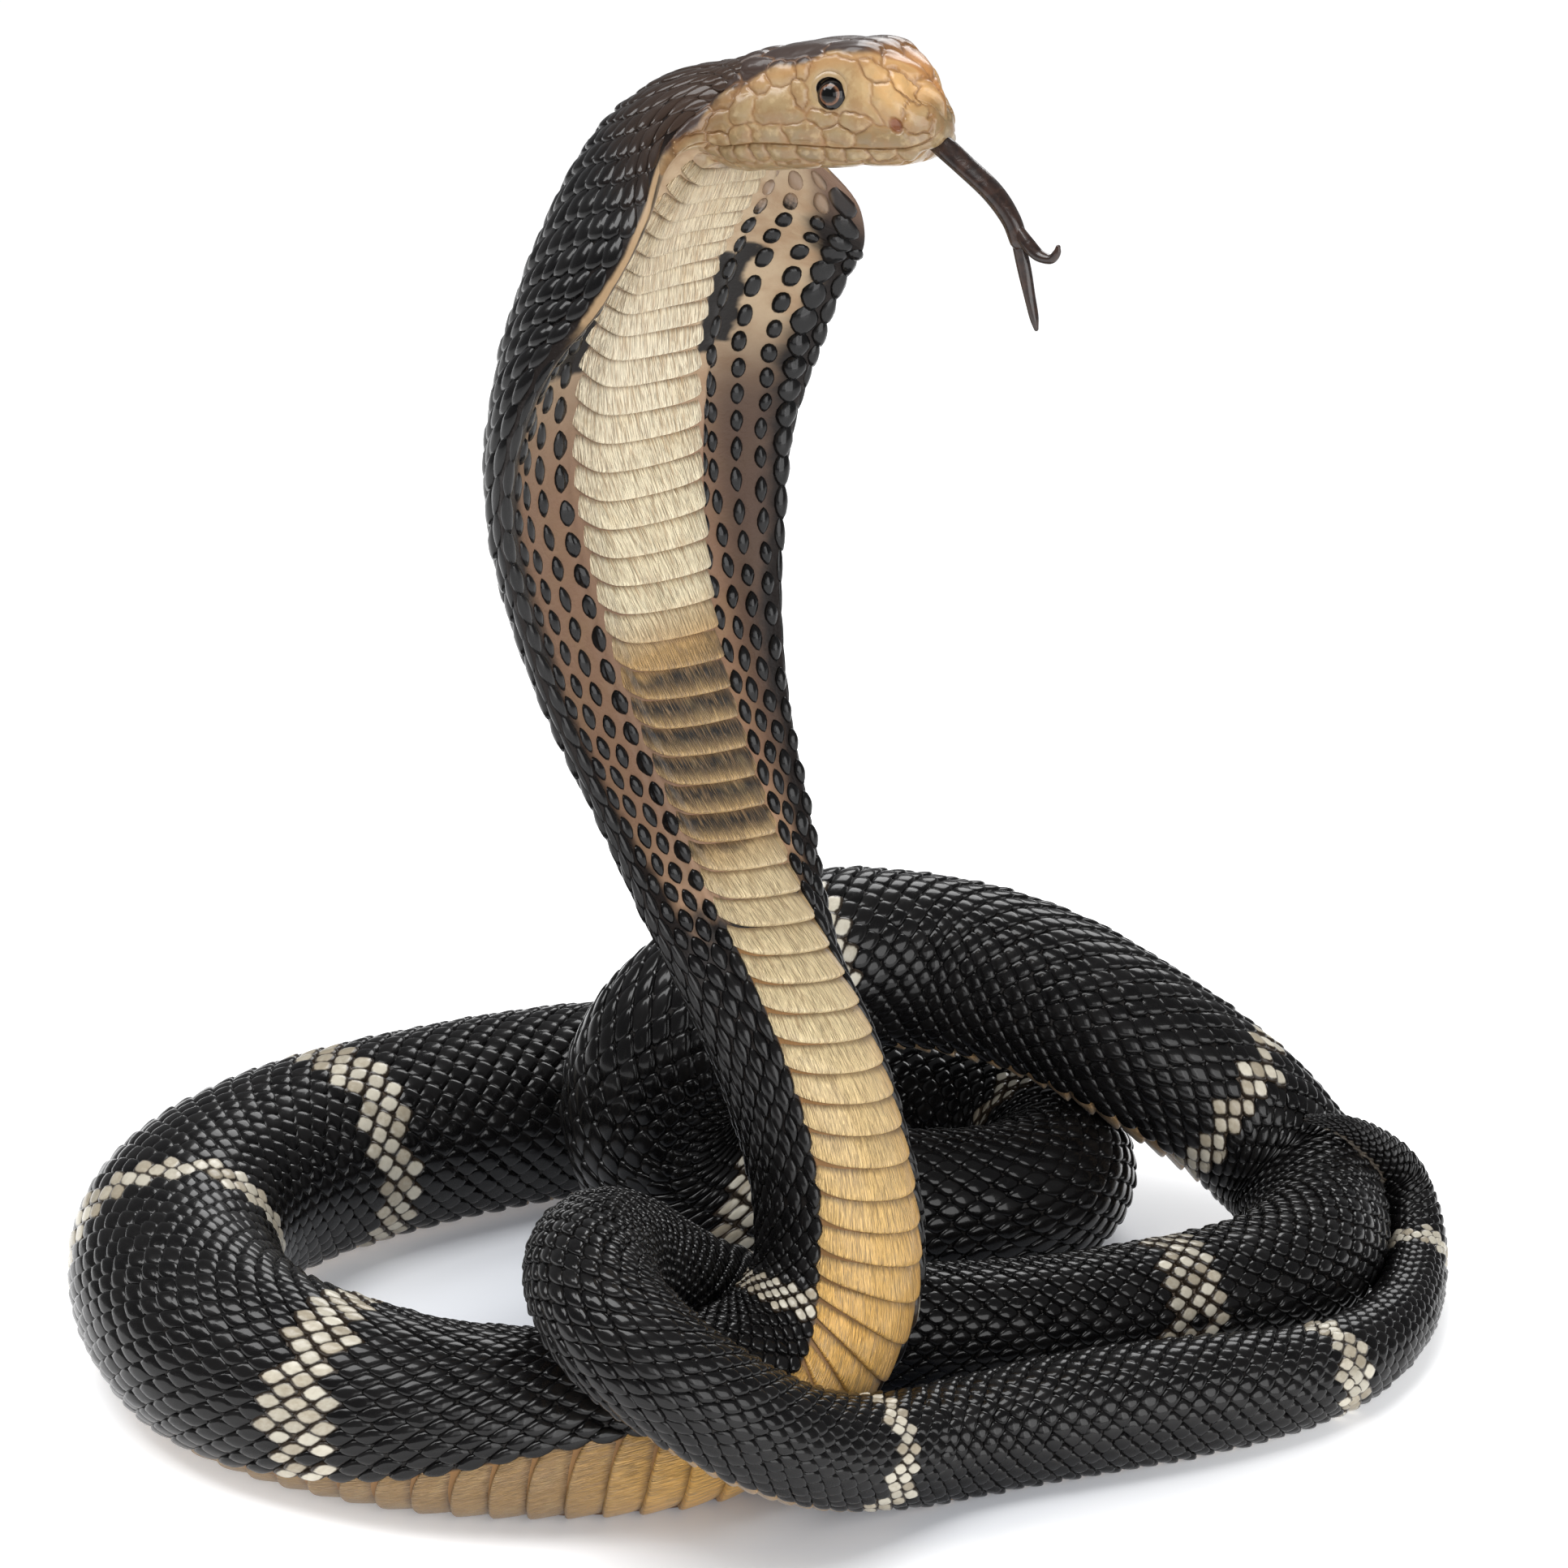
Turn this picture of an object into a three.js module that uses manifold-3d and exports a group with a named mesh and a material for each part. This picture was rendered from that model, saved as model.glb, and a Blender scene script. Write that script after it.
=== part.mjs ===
// A cast resin figure of a king cobra, rearing with its hood spread above its own coils.
// Millimetres, +Z up. The origin is the middle of the figure's footprint, on the floor.
import * as THREE from "three";
import { mergeVertices } from "three/addons/utils/BufferGeometryUtils.js";
import Module from "manifold-3d";

// Driving dimensions, in millimetres and degrees
const CUT = 0.3; // gap between neighbouring lengths, and between a piece and what it sits in
const FLOOR = 1; // height of the floor in the route's own numbers
const FLAT = 1.1; // what is this close to the floor lies flat on it
const FOOTPRINT_MIDDLE = [-2.6, 17.3]; // in the route's own numbers
const HOOD_SCUTE = 5.8; // length of a belly plate on the raised part
const COIL_SCUTE = 0.6; // length of a belly plate on the coils, in body radii
const LEAST_SCUTE = 7.5; // shortest belly plate on the coils and the tail
const SCUTE_STEP = 0.9; // how far a plate's free edge stands above the next plate
const THIN_STEP = 0.06; // the most it may be on a thin body, in body radii
const SCUTE_SIDES = [48, 60]; // angles between which that step fades out at a plate's sides
const SCUTE_EDGE = 0.5; // length of that step along the body
const LARGEST_TURN = 0.3; // radians that the body may bend from one ring to the next
const JAW_BACK = 50; // distance from the snout tip to the jaw's joint
const HEAD_BLEND = [44, 62]; // stretch where the head's outline passes into the neck's
const EYE = { distance: 21.5, angle: 115, radius: 3.9, depth: 2.3 };
const NOSTRIL = { distance: 8, angle: 98, radius: 1.2 };

// Directions of the belly
const DOWN = [0, 0, -1];
const TUBE = [22, 0, 0]; // a round length without a hood

// The body's route from the snout to the tail. A point holds x, y, z and the body's radius, then the
// belly's direction, then the hood's half width, how far it is spread (0 to 1) and how far its edges
// curl to the belly. Each length starts at its first point and ends at the next length's first point.
const LENGTHS = [
  {
    name: "head",
    points: [
      [35.4, -71.7, 336, 10],
      [24, -64, 334.5, 12],
      [12, -56, 333, 13],
      [0, -48, 331.5, 13, DOWN, [24, 0.1, 0]],
    ],
  },
  {
    name: "hood",
    points: [
      [-12, -40, 330, 11.5, [0.5, -0.45, -0.72], [42, 0.62, 0.36]],
      [-18, -37.7, 320.5, 14, [0.66, -0.48, -0.6], [53, 0.9, 0.52]],
      [-27, -33.7, 307.5, 16.5, [0.79, -0.54, -0.31], [51, 1, 0.52]],
      [-32.5, -30, 292, 18, [0.8, -0.55, -0.15], [53.5, 1, 0.42]],
      [-37, -28, 273, 18, [0.78, -0.6, -0.04], [54.5, 1, 0.33]],
      [-38.5, -26, 251, 18, [0.75, -0.66, 0.02], [52, 1, 0.24]],
      [-35.6, -25, 229, 18, [0.73, -0.67, 0.09], [47, 1, 0.18]],
    ],
  },
  {
    name: "neck",
    points: [
      [-32, -25, 207, 18, [0.71, -0.68, 0.15], [41.5, 1, 0.14]],
      [-26, -26, 185, 18.5, [0.69, -0.69, 0.2], [36.5, 0.97, 0.12]],
      [-19, -28, 164, 19, [0.68, -0.7, 0.24], [32.5, 0.92, 0.11]],
      [-11, -31, 143, 20, [0.67, -0.71, 0.27], [30.5, 0.83, 0.06]],
    ],
  },
  {
    name: "neck_base",
    points: [
      [-3, -35, 122, 21, [0.67, -0.72, 0.25], [27, 0.43, 0.02]],
      [4, -38, 103, 20.5, [0.67, -0.73, 0.18], [23, 0.12, 0]],
      [10, -41, 83, 19.5, [0.67, -0.74, 0.11]],
      [14, -43, 63, 20, [0.56, -0.83, -0.03]],
      [14, -46, 43, 21, [0.5, -0.83, -0.3]],
      [2, -53, 27, 21.5, [0.33, -0.83, -0.56]],
      [-16, -65, 21, 22.5, [0.07, -0.87, -0.5]],
    ],
  },
  {
    name: "front_left_length",
    points: [
      [-42, -76, 22.5, 22, [-0.02, -0.81, -0.64]],
      [-81, -75, 22.5, 22.5, [0, -0.39, -0.93]],
      [-110, -63, 24, 24],
    ],
  },
  {
    name: "left_bend",
    points: [
      [-138, -46, 25.5, 25.5],
      [-157, -7, 27, 27],
      [-161, 34, 27.5, 27.5],
    ],
  },
  {
    name: "back_left_length",
    points: [
      [-141, 74, 27.5, 27.5],
      [-108, 100, 27.5, 27.5],
      [-64, 126, 27, 27],
    ],
  },
  {
    name: "rear_length",
    points: [
      [-25, 135, 26.5, 26.5],
      [15, 131, 25, 25],
    ],
  },
  {
    name: "rear_bend",
    points: [
      [51, 122, 24, 24],
      [74, 107, 22, 22],
      [79, 81, 21, 21],
      [62, 59, 21, 21],
    ],
  },
  {
    name: "inner_bend",
    points: [
      [26, 57, 21.5, 21.5],
      [-3, 53, 21.5, 22, [0, 0.15, -1]],
      [-25.3, 55, 27, 22.2, [0.4, 0.75, -0.8]],
    ],
  },
  {
    name: "climbing_bend",
    points: [
      [-38.8, 56, 45, 22.6, [0.15, 1, 0.05]],
      [-34.5, 58, 66.5, 23.5, [0.2, 1, -0.2]],
      [-17, 64, 81.5, 23, [0.1, 0.75, -1]],
    ],
  },
  {
    name: "top_length",
    points: [
      [7, 82, 87, 24, [0, 0.05, -1]],
      [37, 96, 80, 24, [0, -0.35, -1]],
      [70, 92, 74.3, 23.5, [0, -0.3, -1]],
    ],
  },
  {
    name: "descending_bend",
    points: [
      [101, 82, 58, 22.5, [0, -0.35, -1]],
      [129.5, 83, 37.5, 21.5],
      [145, 75, 20, 19],
      [146, 42, 18.5, 18.5],
    ],
  },
  {
    name: "middle_length",
    points: [
      [128, 18, 17.5, 17.5],
      [103, 6, 17, 17],
      [60, -8, 16.5, 16.5],
      [18, -10, 16.5, 16.5],
    ],
  },
  {
    name: "small_loop_back",
    points: [
      [-6, -4, 17, 16],
      [-24, -13, 26, 16],
      [-37, -37, 47.5, 16],
      [-44, -63, 62.5, 15.5],
    ],
  },
  {
    name: "small_loop_front",
    points: [
      [-47, -89, 68.5, 15],
      [-40, -107, 61.5, 15],
      [-24, -112, 50, 14],
      [-6, -106, 35, 14],
      [12, -92, 22, 13.5],
    ],
  },
  {
    name: "front_length",
    points: [
      [32, -70, 13, 13.5],
      [58, -59, 14.5, 14.5],
      [87, -49, 15, 15],
    ],
  },
  {
    name: "front_right_length",
    points: [
      [117, -37, 13.5, 13.5],
      [143, -19, 11, 11],
    ],
  },
  {
    name: "tail",
    points: [
      [161.5, 11, 9.5, 9],
      [168.5, 38, 9, 8.5],
    ],
  },
  {
    name: "tail_tip",
    points: [
      [173.5, 61, 12, 7.5],
      [171, 75.5, 25, 6.5],
      [160, 66, 38, 4.6],
      [150.5, 58.6, 46.6, 2.6],
      [139.5, 55, 49, 1],
    ],
  },
];
const RAISED = ["hood", "neck", "neck_base"]; // lengths with broad rings and close belly plates

// Half outlines: angle from the belly's middle, then offset to the side and towards the belly,
// both in half widths of the spread hood.
const HOOD_RING = [
  [0, 0, 0.17],
  [30, 0.33, 0.15],
  [50, 0.44, 0.06],
  [56, 0.48, 0.01],
  [76, 0.72, -0.02],
  [95, 0.94, 0],
  [106, 1, -0.05],
  [120, 0.92, -0.16],
  [148, 0.54, -0.34],
  [180, 0, -0.44],
];

// Half outline of the head: angle, offset to the side in half widths, and rise from the chin (-1)
// through the mouth line (0) to the crown (1).
const HEAD_RING = [
  [0, 0, -1],
  [30, 0.45, -0.97],
  [50, 0.78, -0.76],
  [64, 0.93, -0.25],
  [72, 0.95, 0],
  [82, 0.98, 0.1],
  [100, 1, 0.33],
  [118, 0.94, 0.62],
  [136, 0.84, 0.86],
  [150, 0.62, 0.97],
  [165, 0.32, 1],
  [180, 0, 1],
];

// Distance from the snout tip, half width, and heights of the crown, the mouth line and the chin
const HEAD_PROFILE = [
  [0, 2, 1.2, -5.4, -6],
  [0.8, 3.6, 3, -6.4, -7],
  [2, 5.4, 4.3, -7.1, -7.7],
  [4, 7.3, 6, -7.5, -8.4],
  [6, 8.7, 8.2, -7.6, -10.6],
  [9, 9.9, 11.2, -7.4, -11],
  [14, 11.6, 14.9, -6.9, -11],
  [21, 13.2, 15.9, -6.3, -11],
  [30, 15.4, 16, -5.2, -11],
  [40, 17.4, 15.1, -4.5, -11],
  [48, 17.8, 13.8, -5.6, -11.6],
  [58, 17.5, 11.8, -8.5, -13.5],
];

// Swellings of the head: distance, angle, reach along the head, reach in angle, height
const SWELLINGS = [
  [20, 134, 6, 9, 0.9], // brow over the eye
  [11, 132, 5, 8, 0.5], // ridge from the brow to the snout
  [40, 98, 9, 16, 0.8], // cheek over the jaw muscles
  [22, 80, 22, 6, 0.35], // upper lip
  [22, 62, 18, 6, 0.3], // lower lip
];

// Stops of the head's rings, as distances from the snout tip
const HEAD_STOPS = [0, 0.8, 2, 3.6, 5, 6.8, 9, 12, 15.5, 19, 23, 27.5, 32, 37, 42, 46.5, 51, 54.5];

// Stops of the mouth line, the last at the jaw's joint
const MOUTH_STOPS = [-5, 0, 5, 12, 20, 30, 40, JAW_BACK];

// Angles of the vertices on one side of a ring, from the belly's middle to the back's
const HEAD_ANGLES = [30, 50, 64, 71, 82, 95, 108, 122, 136, 150, 165];
const RAISED_ANGLES = [20, 38, 50, 57, 75, 95, 107, 122, 148];
const COIL_ANGLES = [15, 48, 78, 110, 145];

// The tongue: x, y, z and radius
const TONGUE_STEM = [
  [33.3, -70, 329, 2.2],
  [35.8, -71.6, 327, 2.35],
  [39.4, -73.9, 323.8, 2.3],
  [45.5, -78, 318.5, 2.3],
  [49.4, -80.6, 313.3, 2.05],
  [51.3, -81.9, 308.6, 1.9],
];
const TONGUE_CURL = [
  [50.6, -81.6, 311.5, 1.3],
  [53, -84.1, 308.4, 1.45],
  [55.2, -85.9, 306.2, 1.3],
  [57.7, -87.6, 305.7, 1],
  [59, -88.4, 307.1, 0.85],
  [59.3, -88.7, 308.5, 0.5],
];
const TONGUE_POINT = [
  [50.6, -81.3, 310.8, 1.4],
  [52.4, -81.7, 302.8, 1.45],
  [53.6, -82.5, 296.8, 1.2],
  [54.6, -83.1, 292.3, 1],
  [55.2, -83.5, 289.6, 0.5],
];
const TONGUE_SIDES = 8;
const TONGUE_UNDER = [0.55, 0.83, 0]; // direction of the first side

// Materials
const resin = (color, roughness = 0.35) => new THREE.MeshStandardMaterial({ color, roughness });
const SCALES = resin(0x1d1b19, 0.3);
const BELLY = resin(0xcdbf9c);
const HEAD = resin(0xd8c9a2);
const EYE_BLACK = resin(0x14151a, 0.1);
const TONGUE = resin(0x2b2320, 0.2);

const wasm = await Module();
wasm.setup();

// Curves through tables

// Value of every later column of a table at x, smooth through its rows, which are sorted by column 0
function smooth(rows, x) {
  let i = 0;
  while (i < rows.length - 2 && x > rows[i + 1][0]) i += 1;
  const before = rows[Math.max(i - 1, 0)];
  const [a, b] = [rows[i], rows[i + 1]];
  const after = rows[Math.min(i + 2, rows.length - 1)];
  const span = b[0] - a[0];
  const t = THREE.MathUtils.clamp((x - a[0]) / span, 0, 1);
  return a.slice(1).map((value, k) => {
    const next = b[k + 1];
    const slopeA = (span * (next - before[k + 1])) / (b[0] - before[0]);
    const slopeB = (span * (after[k + 1] - value)) / (after[0] - a[0]);
    const turned = 3 * t * t - 2 * t * t * t;
    const bow = t * (1 - t);
    return value + turned * (next - value) + bow * ((1 - t) * slopeA - t * slopeB);
  });
}

// A half outline continued past the belly's and the back's middle, where its mirror image follows on
function mirrored(ring) {
  const [, second] = ring;
  const last = ring.at(-2);
  return [[-second[0], -second[1], second[2]], ...ring, [360 - last[0], -last[1], last[2]]];
}

const HOOD_OUTLINE = mirrored(HOOD_RING);
const HEAD_OUTLINE = mirrored(HEAD_RING);

// Side and rise of an outline at an angle from -180 to 180
function outlineAt(outline, angle) {
  const [side, rise] = smooth(outline, Math.abs(angle));
  return [Math.sign(angle) * side, rise];
}

// The route as one smooth curve

// Route points as rows of x, y, z, radius, hood half width, spread, curl and belly direction
const ROWS = LENGTHS.flatMap(({ points }) =>
  points.map(([x, y, z, radius, belly = DOWN, hood = TUBE]) => [x, y, z, radius, ...hood, ...belly]),
);
const PARAMETER = {};
LENGTHS.reduce((sum, { name, points }) => {
  PARAMETER[name] = sum;
  return sum + points.length;
}, 0);

// One row of the uniform cubic B-spline through the rows' control polygon, or of its derivative
function splineRow(u, derivative = false) {
  const i = Math.min(Math.floor(u), ROWS.length - 2);
  const t = u - i;
  const [first, last] = [ROWS[0], ROWS.at(-1)];
  const before = i > 0 ? ROWS[i - 1] : first.map((v, k) => 2 * v - ROWS[1][k]);
  const after = i + 2 < ROWS.length ? ROWS[i + 2] : last.map((v, k) => 2 * v - ROWS.at(-2)[k]);
  const weights = derivative
    ? [-((1 - t) ** 2) / 2, (3 * t * t - 4 * t) / 2, (-3 * t * t + 2 * t + 1) / 2, (t * t) / 2]
    : [
        (1 - t) ** 3 / 6,
        (3 * t ** 3 - 6 * t * t + 4) / 6,
        (-3 * t ** 3 + 3 * t * t + 3 * t + 1) / 6,
        t ** 3 / 6,
      ];
  const rows = [before, ROWS[i], ROWS[i + 1], after];
  return first.map((_, k) => rows.reduce((sum, row, n) => sum + weights[n] * row[k], 0));
}

// Distance along the route at every step of the parameter
const STEPS = 40;
const DISTANCES = [0];
for (let step = 1; step <= (ROWS.length - 1) * STEPS; step += 1) {
  const a = new THREE.Vector3(...splineRow((step - 1) / STEPS));
  const b = new THREE.Vector3(...splineRow(step / STEPS));
  DISTANCES.push(DISTANCES.at(-1) + a.distanceTo(b));
}

function distanceOf(parameter) {
  return DISTANCES[Math.round(parameter * STEPS)];
}

function parameterOf(distance) {
  let step = DISTANCES.findIndex((d) => d >= distance);
  if (step < 0) step = DISTANCES.length - 1;
  step = Math.max(step, 1);
  const share = (distance - DISTANCES[step - 1]) / (DISTANCES[step] - DISTANCES[step - 1]);
  return Math.min((step - 1 + share) / STEPS, ROWS.length - 1);
}

// Place, directions and sizes of the body at a distance from the snout tip
function bodyAt(distance) {
  const u = parameterOf(distance);
  const [x, y, z, radius, halfWidth, spread, curl, ...belly] = splineRow(u);
  const along = new THREE.Vector3(...splineRow(u, true)).normalize();
  const under = new THREE.Vector3(...belly);
  under.addScaledVector(along, -under.dot(along)).normalize();
  const side = new THREE.Vector3().crossVectors(along, under);
  return { centre: new THREE.Vector3(x, y, z), along, under, side, radius, halfWidth, spread, curl };
}

// Outlines, each as offsets to the side and towards the belly

// Round where the hood is closed, flat and wide where it is spread
function bodyOutline(angle, { radius, halfWidth, spread, curl }) {
  const turn = THREE.MathUtils.degToRad(angle);
  const [side, under] = outlineAt(HOOD_OUTLINE, angle);
  return [
    (1 - spread) * radius * Math.sin(turn) + spread * halfWidth * side,
    (1 - spread) * radius * Math.cos(turn) + spread * halfWidth * (under + curl * side * side),
  ];
}

function headOutline(angle, distance) {
  const [halfWidth, crown, mouth, chin] = smooth(HEAD_PROFILE, distance);
  const [side, rise] = outlineAt(HEAD_OUTLINE, angle);
  const height = mouth + (rise < 0 ? rise * (mouth - chin) : rise * (crown - mouth));
  const swelling = SWELLINGS.reduce((sum, [at, centre, reach, width, lift]) => {
    const away = ((distance - at) / reach) ** 2 + ((Math.abs(angle) - centre) / width) ** 2;
    return sum + lift * Math.exp(-away);
  }, 0);
  const outward = new THREE.Vector2(side * halfWidth, height - (crown + mouth) / 2).normalize();
  return [side * halfWidth + swelling * outward.x, -height - swelling * outward.y];
}

// The body's outline at a distance, with the head passing into the neck
function outlineOf(angle, distance, body) {
  const neck = THREE.MathUtils.smoothstep(distance, ...HEAD_BLEND);
  const tube = bodyOutline(angle, body);
  if (neck === 1) return tube;
  const head = headOutline(angle, distance);
  return [0, 1].map((k) => head[k] + neck * (tube[k] - head[k]));
}

// Bodies from rings

// Angles of a whole ring, in order round it
function ringAngles(half) {
  return [...half.map((angle) => -angle).reverse(), 0, ...half, 180];
}

// How far a belly plate lies under its neighbour's free edge at an angle, as a share of the step
function plateShare(angle) {
  return 1 - THREE.MathUtils.smoothstep(Math.abs(angle), ...SCUTE_SIDES);
}

// Points of one ring. Lift runs from 0 at a belly plate's front edge to 1 at its free edge.
function ringPoints(angles, distance, lift) {
  const body = bodyAt(distance);
  const points = angles.map((angle) => {
    const [side, under] = outlineOf(angle, distance, body);
    const sunk = Math.min(SCUTE_STEP, THIN_STEP * body.radius) * (1 - lift) * plateShare(angle);
    const point = body.centre.clone().addScaledVector(body.side, side);
    point.addScaledVector(body.under, under - sunk);
    if (point.z < FLOOR + FLAT) point.z = FLOOR;
    return point;
  });
  return { body, points };
}

// A closed body through rings of the same number of points, with flat ends
function skinned(rings) {
  const count = rings[0].points.length;
  const positions = rings.flatMap(({ points }) => points.flatMap((p) => p.toArray()));
  const index = [];
  for (let ring = 0; ring + 1 < rings.length; ring += 1) {
    for (let k = 0; k < count; k += 1) {
      const next = (k + 1) % count;
      const [a, b] = [ring * count + k, ring * count + next];
      index.push(a, b, b + count, a, b + count, a + count);
    }
  }
  const addEnd = (ring, facesBack) => {
    const { body, points } = rings[ring];
    const flat = points.map((p) => {
      const offset = p.clone().sub(body.centre);
      return new THREE.Vector2(offset.dot(body.under), offset.dot(body.side));
    });
    for (const [a, b, c] of THREE.ShapeUtils.triangulateShape(flat, [])) {
      const corners = facesBack ? [a, c, b] : [a, b, c];
      index.push(...corners.map((k) => ring * count + k));
    }
  };
  addEnd(0, true);
  addEnd(rings.length - 1, false);
  const geometry = new THREE.BufferGeometry();
  geometry.setAttribute("position", new THREE.Float32BufferAttribute(positions, 3));
  geometry.setIndex(index);
  return geometry;
}

// Rings of one length: two at each edge between belly plates, and more where the body bends fast
function lengthRings(start, end, raised) {
  const angles = ringAngles(raised ? RAISED_ANGLES : COIL_ANGLES);
  const middle = bodyAt((start + end) / 2);
  const length = raised ? HOOD_SCUTE : Math.max(LEAST_SCUTE, COIL_SCUTE * middle.radius);
  const plates = Math.max(2, Math.round((end - start) / length));
  const plate = (end - start) / plates;
  const rings = [];
  for (let k = 0; k < plates; k += 1) {
    const front = start + k * plate + (k > 0 ? SCUTE_EDGE / 2 : 0);
    const back = start + (k + 1) * plate - (k < plates - 1 ? SCUTE_EDGE / 2 : 0);
    const turn = bodyAt(front).along.angleTo(bodyAt(back).along);
    const parts = Math.ceil(turn / LARGEST_TURN) || 1;
    for (let part = 0; part <= parts; part += 1) {
      const share = part / parts;
      rings.push(ringPoints(angles, front + share * (back - front), share));
    }
  }
  return rings;
}

// Booleans

function solidOf(geometry) {
  const bare = geometry.clone();
  bare.deleteAttribute("normal");
  bare.deleteAttribute("uv");
  const merged = mergeVertices(bare, 1e-4);
  return new wasm.Manifold(
    new wasm.Mesh({
      numProp: 3,
      vertProperties: merged.attributes.position.array,
      triVerts: new Uint32Array(merged.index.array),
    }),
  );
}

function geometryOf(solid) {
  const mesh = solid.getMesh();
  const geometry = new THREE.BufferGeometry();
  geometry.setAttribute("position", new THREE.BufferAttribute(mesh.vertProperties, 3));
  geometry.setIndex(new THREE.BufferAttribute(mesh.triVerts, 1));
  return geometry;
}

// Closed surfaces of a solid, largest first
function pieces(solid) {
  return solid.decompose().sort((a, b) => b.volume() - a.volume());
}

function named(name, geometry, material) {
  const mesh = new THREE.Mesh(geometry, material);
  mesh.name = name;
  return mesh;
}

// Head

// The head's frame: x back from the snout tip, y to the snake's right, z up
function headFrame() {
  const { centre, along, side, under } = bodyAt(0);
  const frame = new THREE.Matrix4().makeBasis(along, side, under.clone().negate());
  return frame.setPosition(centre);
}

// A point on the head's skin, moved in by a depth, in the head's frame
function onHead(distance, angle, depth = 0) {
  const [side, under] = headOutline(angle, distance);
  const out = new THREE.Vector2(side, -under - smooth(HEAD_PROFILE, distance)[2]).normalize();
  return new THREE.Vector3(distance, side - depth * out.x, -under - depth * out.y);
}

// A thin blade along the mouth line that turns down behind the jaw
function mouthBlade() {
  const reach = 30;
  const line = MOUTH_STOPS.map((x) => [x, smooth(HEAD_PROFILE, x)[2]]);
  const end = line.at(-1);
  const blade = new THREE.Shape();
  blade.moveTo(line[0][0], line[0][1] + CUT / 2);
  line.slice(1).forEach(([x, z]) => blade.lineTo(x, z + CUT / 2));
  blade.lineTo(end[0], -reach);
  blade.lineTo(end[0] - CUT, -reach);
  blade.lineTo(end[0] - CUT, end[1] - CUT / 2);
  line
    .slice(0, -1)
    .reverse()
    .forEach(([x, z]) => blade.lineTo(x, z - CUT / 2));
  const geometry = new THREE.ExtrudeGeometry(blade, { depth: 2 * reach, bevelEnabled: false });
  geometry.rotateX(Math.PI / 2);
  geometry.translate(0, reach, 0);
  return geometry;
}

function ball(centre, radius, segments = 12) {
  const geometry = new THREE.SphereGeometry(radius, segments, Math.ceil(segments / 2));
  geometry.translate(centre.x, centre.y, centre.z);
  return geometry;
}

const FRAME = headFrame();
const SIDES = { right: 1, left: -1 };

function eyeCentre(sign) {
  return onHead(EYE.distance, sign * EYE.angle, EYE.depth);
}

function eyeBall(sign, radius) {
  return ball(eyeCentre(sign), radius).applyMatrix4(FRAME);
}

// A round tapered strand through points of x, y, z and radius
function strand(points, extra = 0) {
  const curve = new THREE.CatmullRomCurve3(points.map(([x, y, z]) => new THREE.Vector3(x, y, z)));
  const radii = points.map((point, k) => [k / (points.length - 1), point[3]]);
  const steps = 2 * (points.length - 1);
  const rings = [];
  for (let step = 0; step <= steps; step += 1) {
    const share = step / steps;
    const centre = curve.getPoint(share);
    const along = curve.getTangent(share);
    const under = new THREE.Vector3(...TONGUE_UNDER);
    under.addScaledVector(along, -under.dot(along)).normalize();
    const side = new THREE.Vector3().crossVectors(along, under);
    const [radius] = smooth(radii, share);
    const ringOf = Array.from({ length: TONGUE_SIDES }, (_, k) => {
      const turn = (2 * Math.PI * k) / TONGUE_SIDES;
      return centre
        .clone()
        .addScaledVector(under, (radius + extra) * Math.cos(turn))
        .addScaledVector(side, (radius + extra) * Math.sin(turn));
    });
    rings.push({ body: { centre, under, side }, points: ringOf });
  }
  return skinned(rings);
}

function tongueSolid() {
  const strands = [TONGUE_STEM, TONGUE_CURL, TONGUE_POINT].map((points) => solidOf(strand(points)));
  return strands.reduce((a, b) => a.add(b));
}

// The whole head, with its sockets, nostrils and the tongue's way out, parted along the mouth
function headMeshes(end) {
  const stops = [...HEAD_STOPS, end];
  const angles = ringAngles(HEAD_ANGLES);
  let solid = solidOf(skinned(stops.map((distance) => ringPoints(angles, distance, 1))));
  for (const sign of Object.values(SIDES)) {
    solid = solid.subtract(solidOf(eyeBall(sign, EYE.radius + CUT)));
    const nostril = ball(onHead(NOSTRIL.distance, sign * NOSTRIL.angle), NOSTRIL.radius, 8);
    solid = solid.subtract(solidOf(nostril.applyMatrix4(FRAME)));
  }
  solid = solid.subtract(solidOf(strand(TONGUE_STEM, CUT)));
  solid = solid.subtract(solidOf(mouthBlade().applyMatrix4(FRAME)));
  const [upper, lower] = pieces(solid);
  return [named("head", geometryOf(upper), HEAD), named("lower_jaw", geometryOf(lower), HEAD)];
}

// The figure

const cobra = new THREE.Group();
LENGTHS.forEach(({ name }, i) => {
  const start = i > 0 ? distanceOf(PARAMETER[name]) + CUT / 2 : 0;
  const last = i === LENGTHS.length - 1;
  const end = last ? DISTANCES.at(-1) : distanceOf(PARAMETER[LENGTHS[i + 1].name]) - CUT / 2;
  if (name === "head") {
    cobra.add(...headMeshes(end));
    return;
  }
  const raised = RAISED.includes(name);
  cobra.add(named(name, skinned(lengthRings(start, end, raised)), raised ? BELLY : SCALES));
});
for (const [side, sign] of Object.entries(SIDES)) {
  cobra.add(named(`eye_${side}`, eyeBall(sign, EYE.radius), EYE_BLACK));
}
cobra.add(named("tongue", geometryOf(tongueSolid()), TONGUE));
cobra.position.set(-FOOTPRINT_MIDDLE[0], -FOOTPRINT_MIDDLE[1], -FLOOR);

export default cobra;
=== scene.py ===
import math

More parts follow.
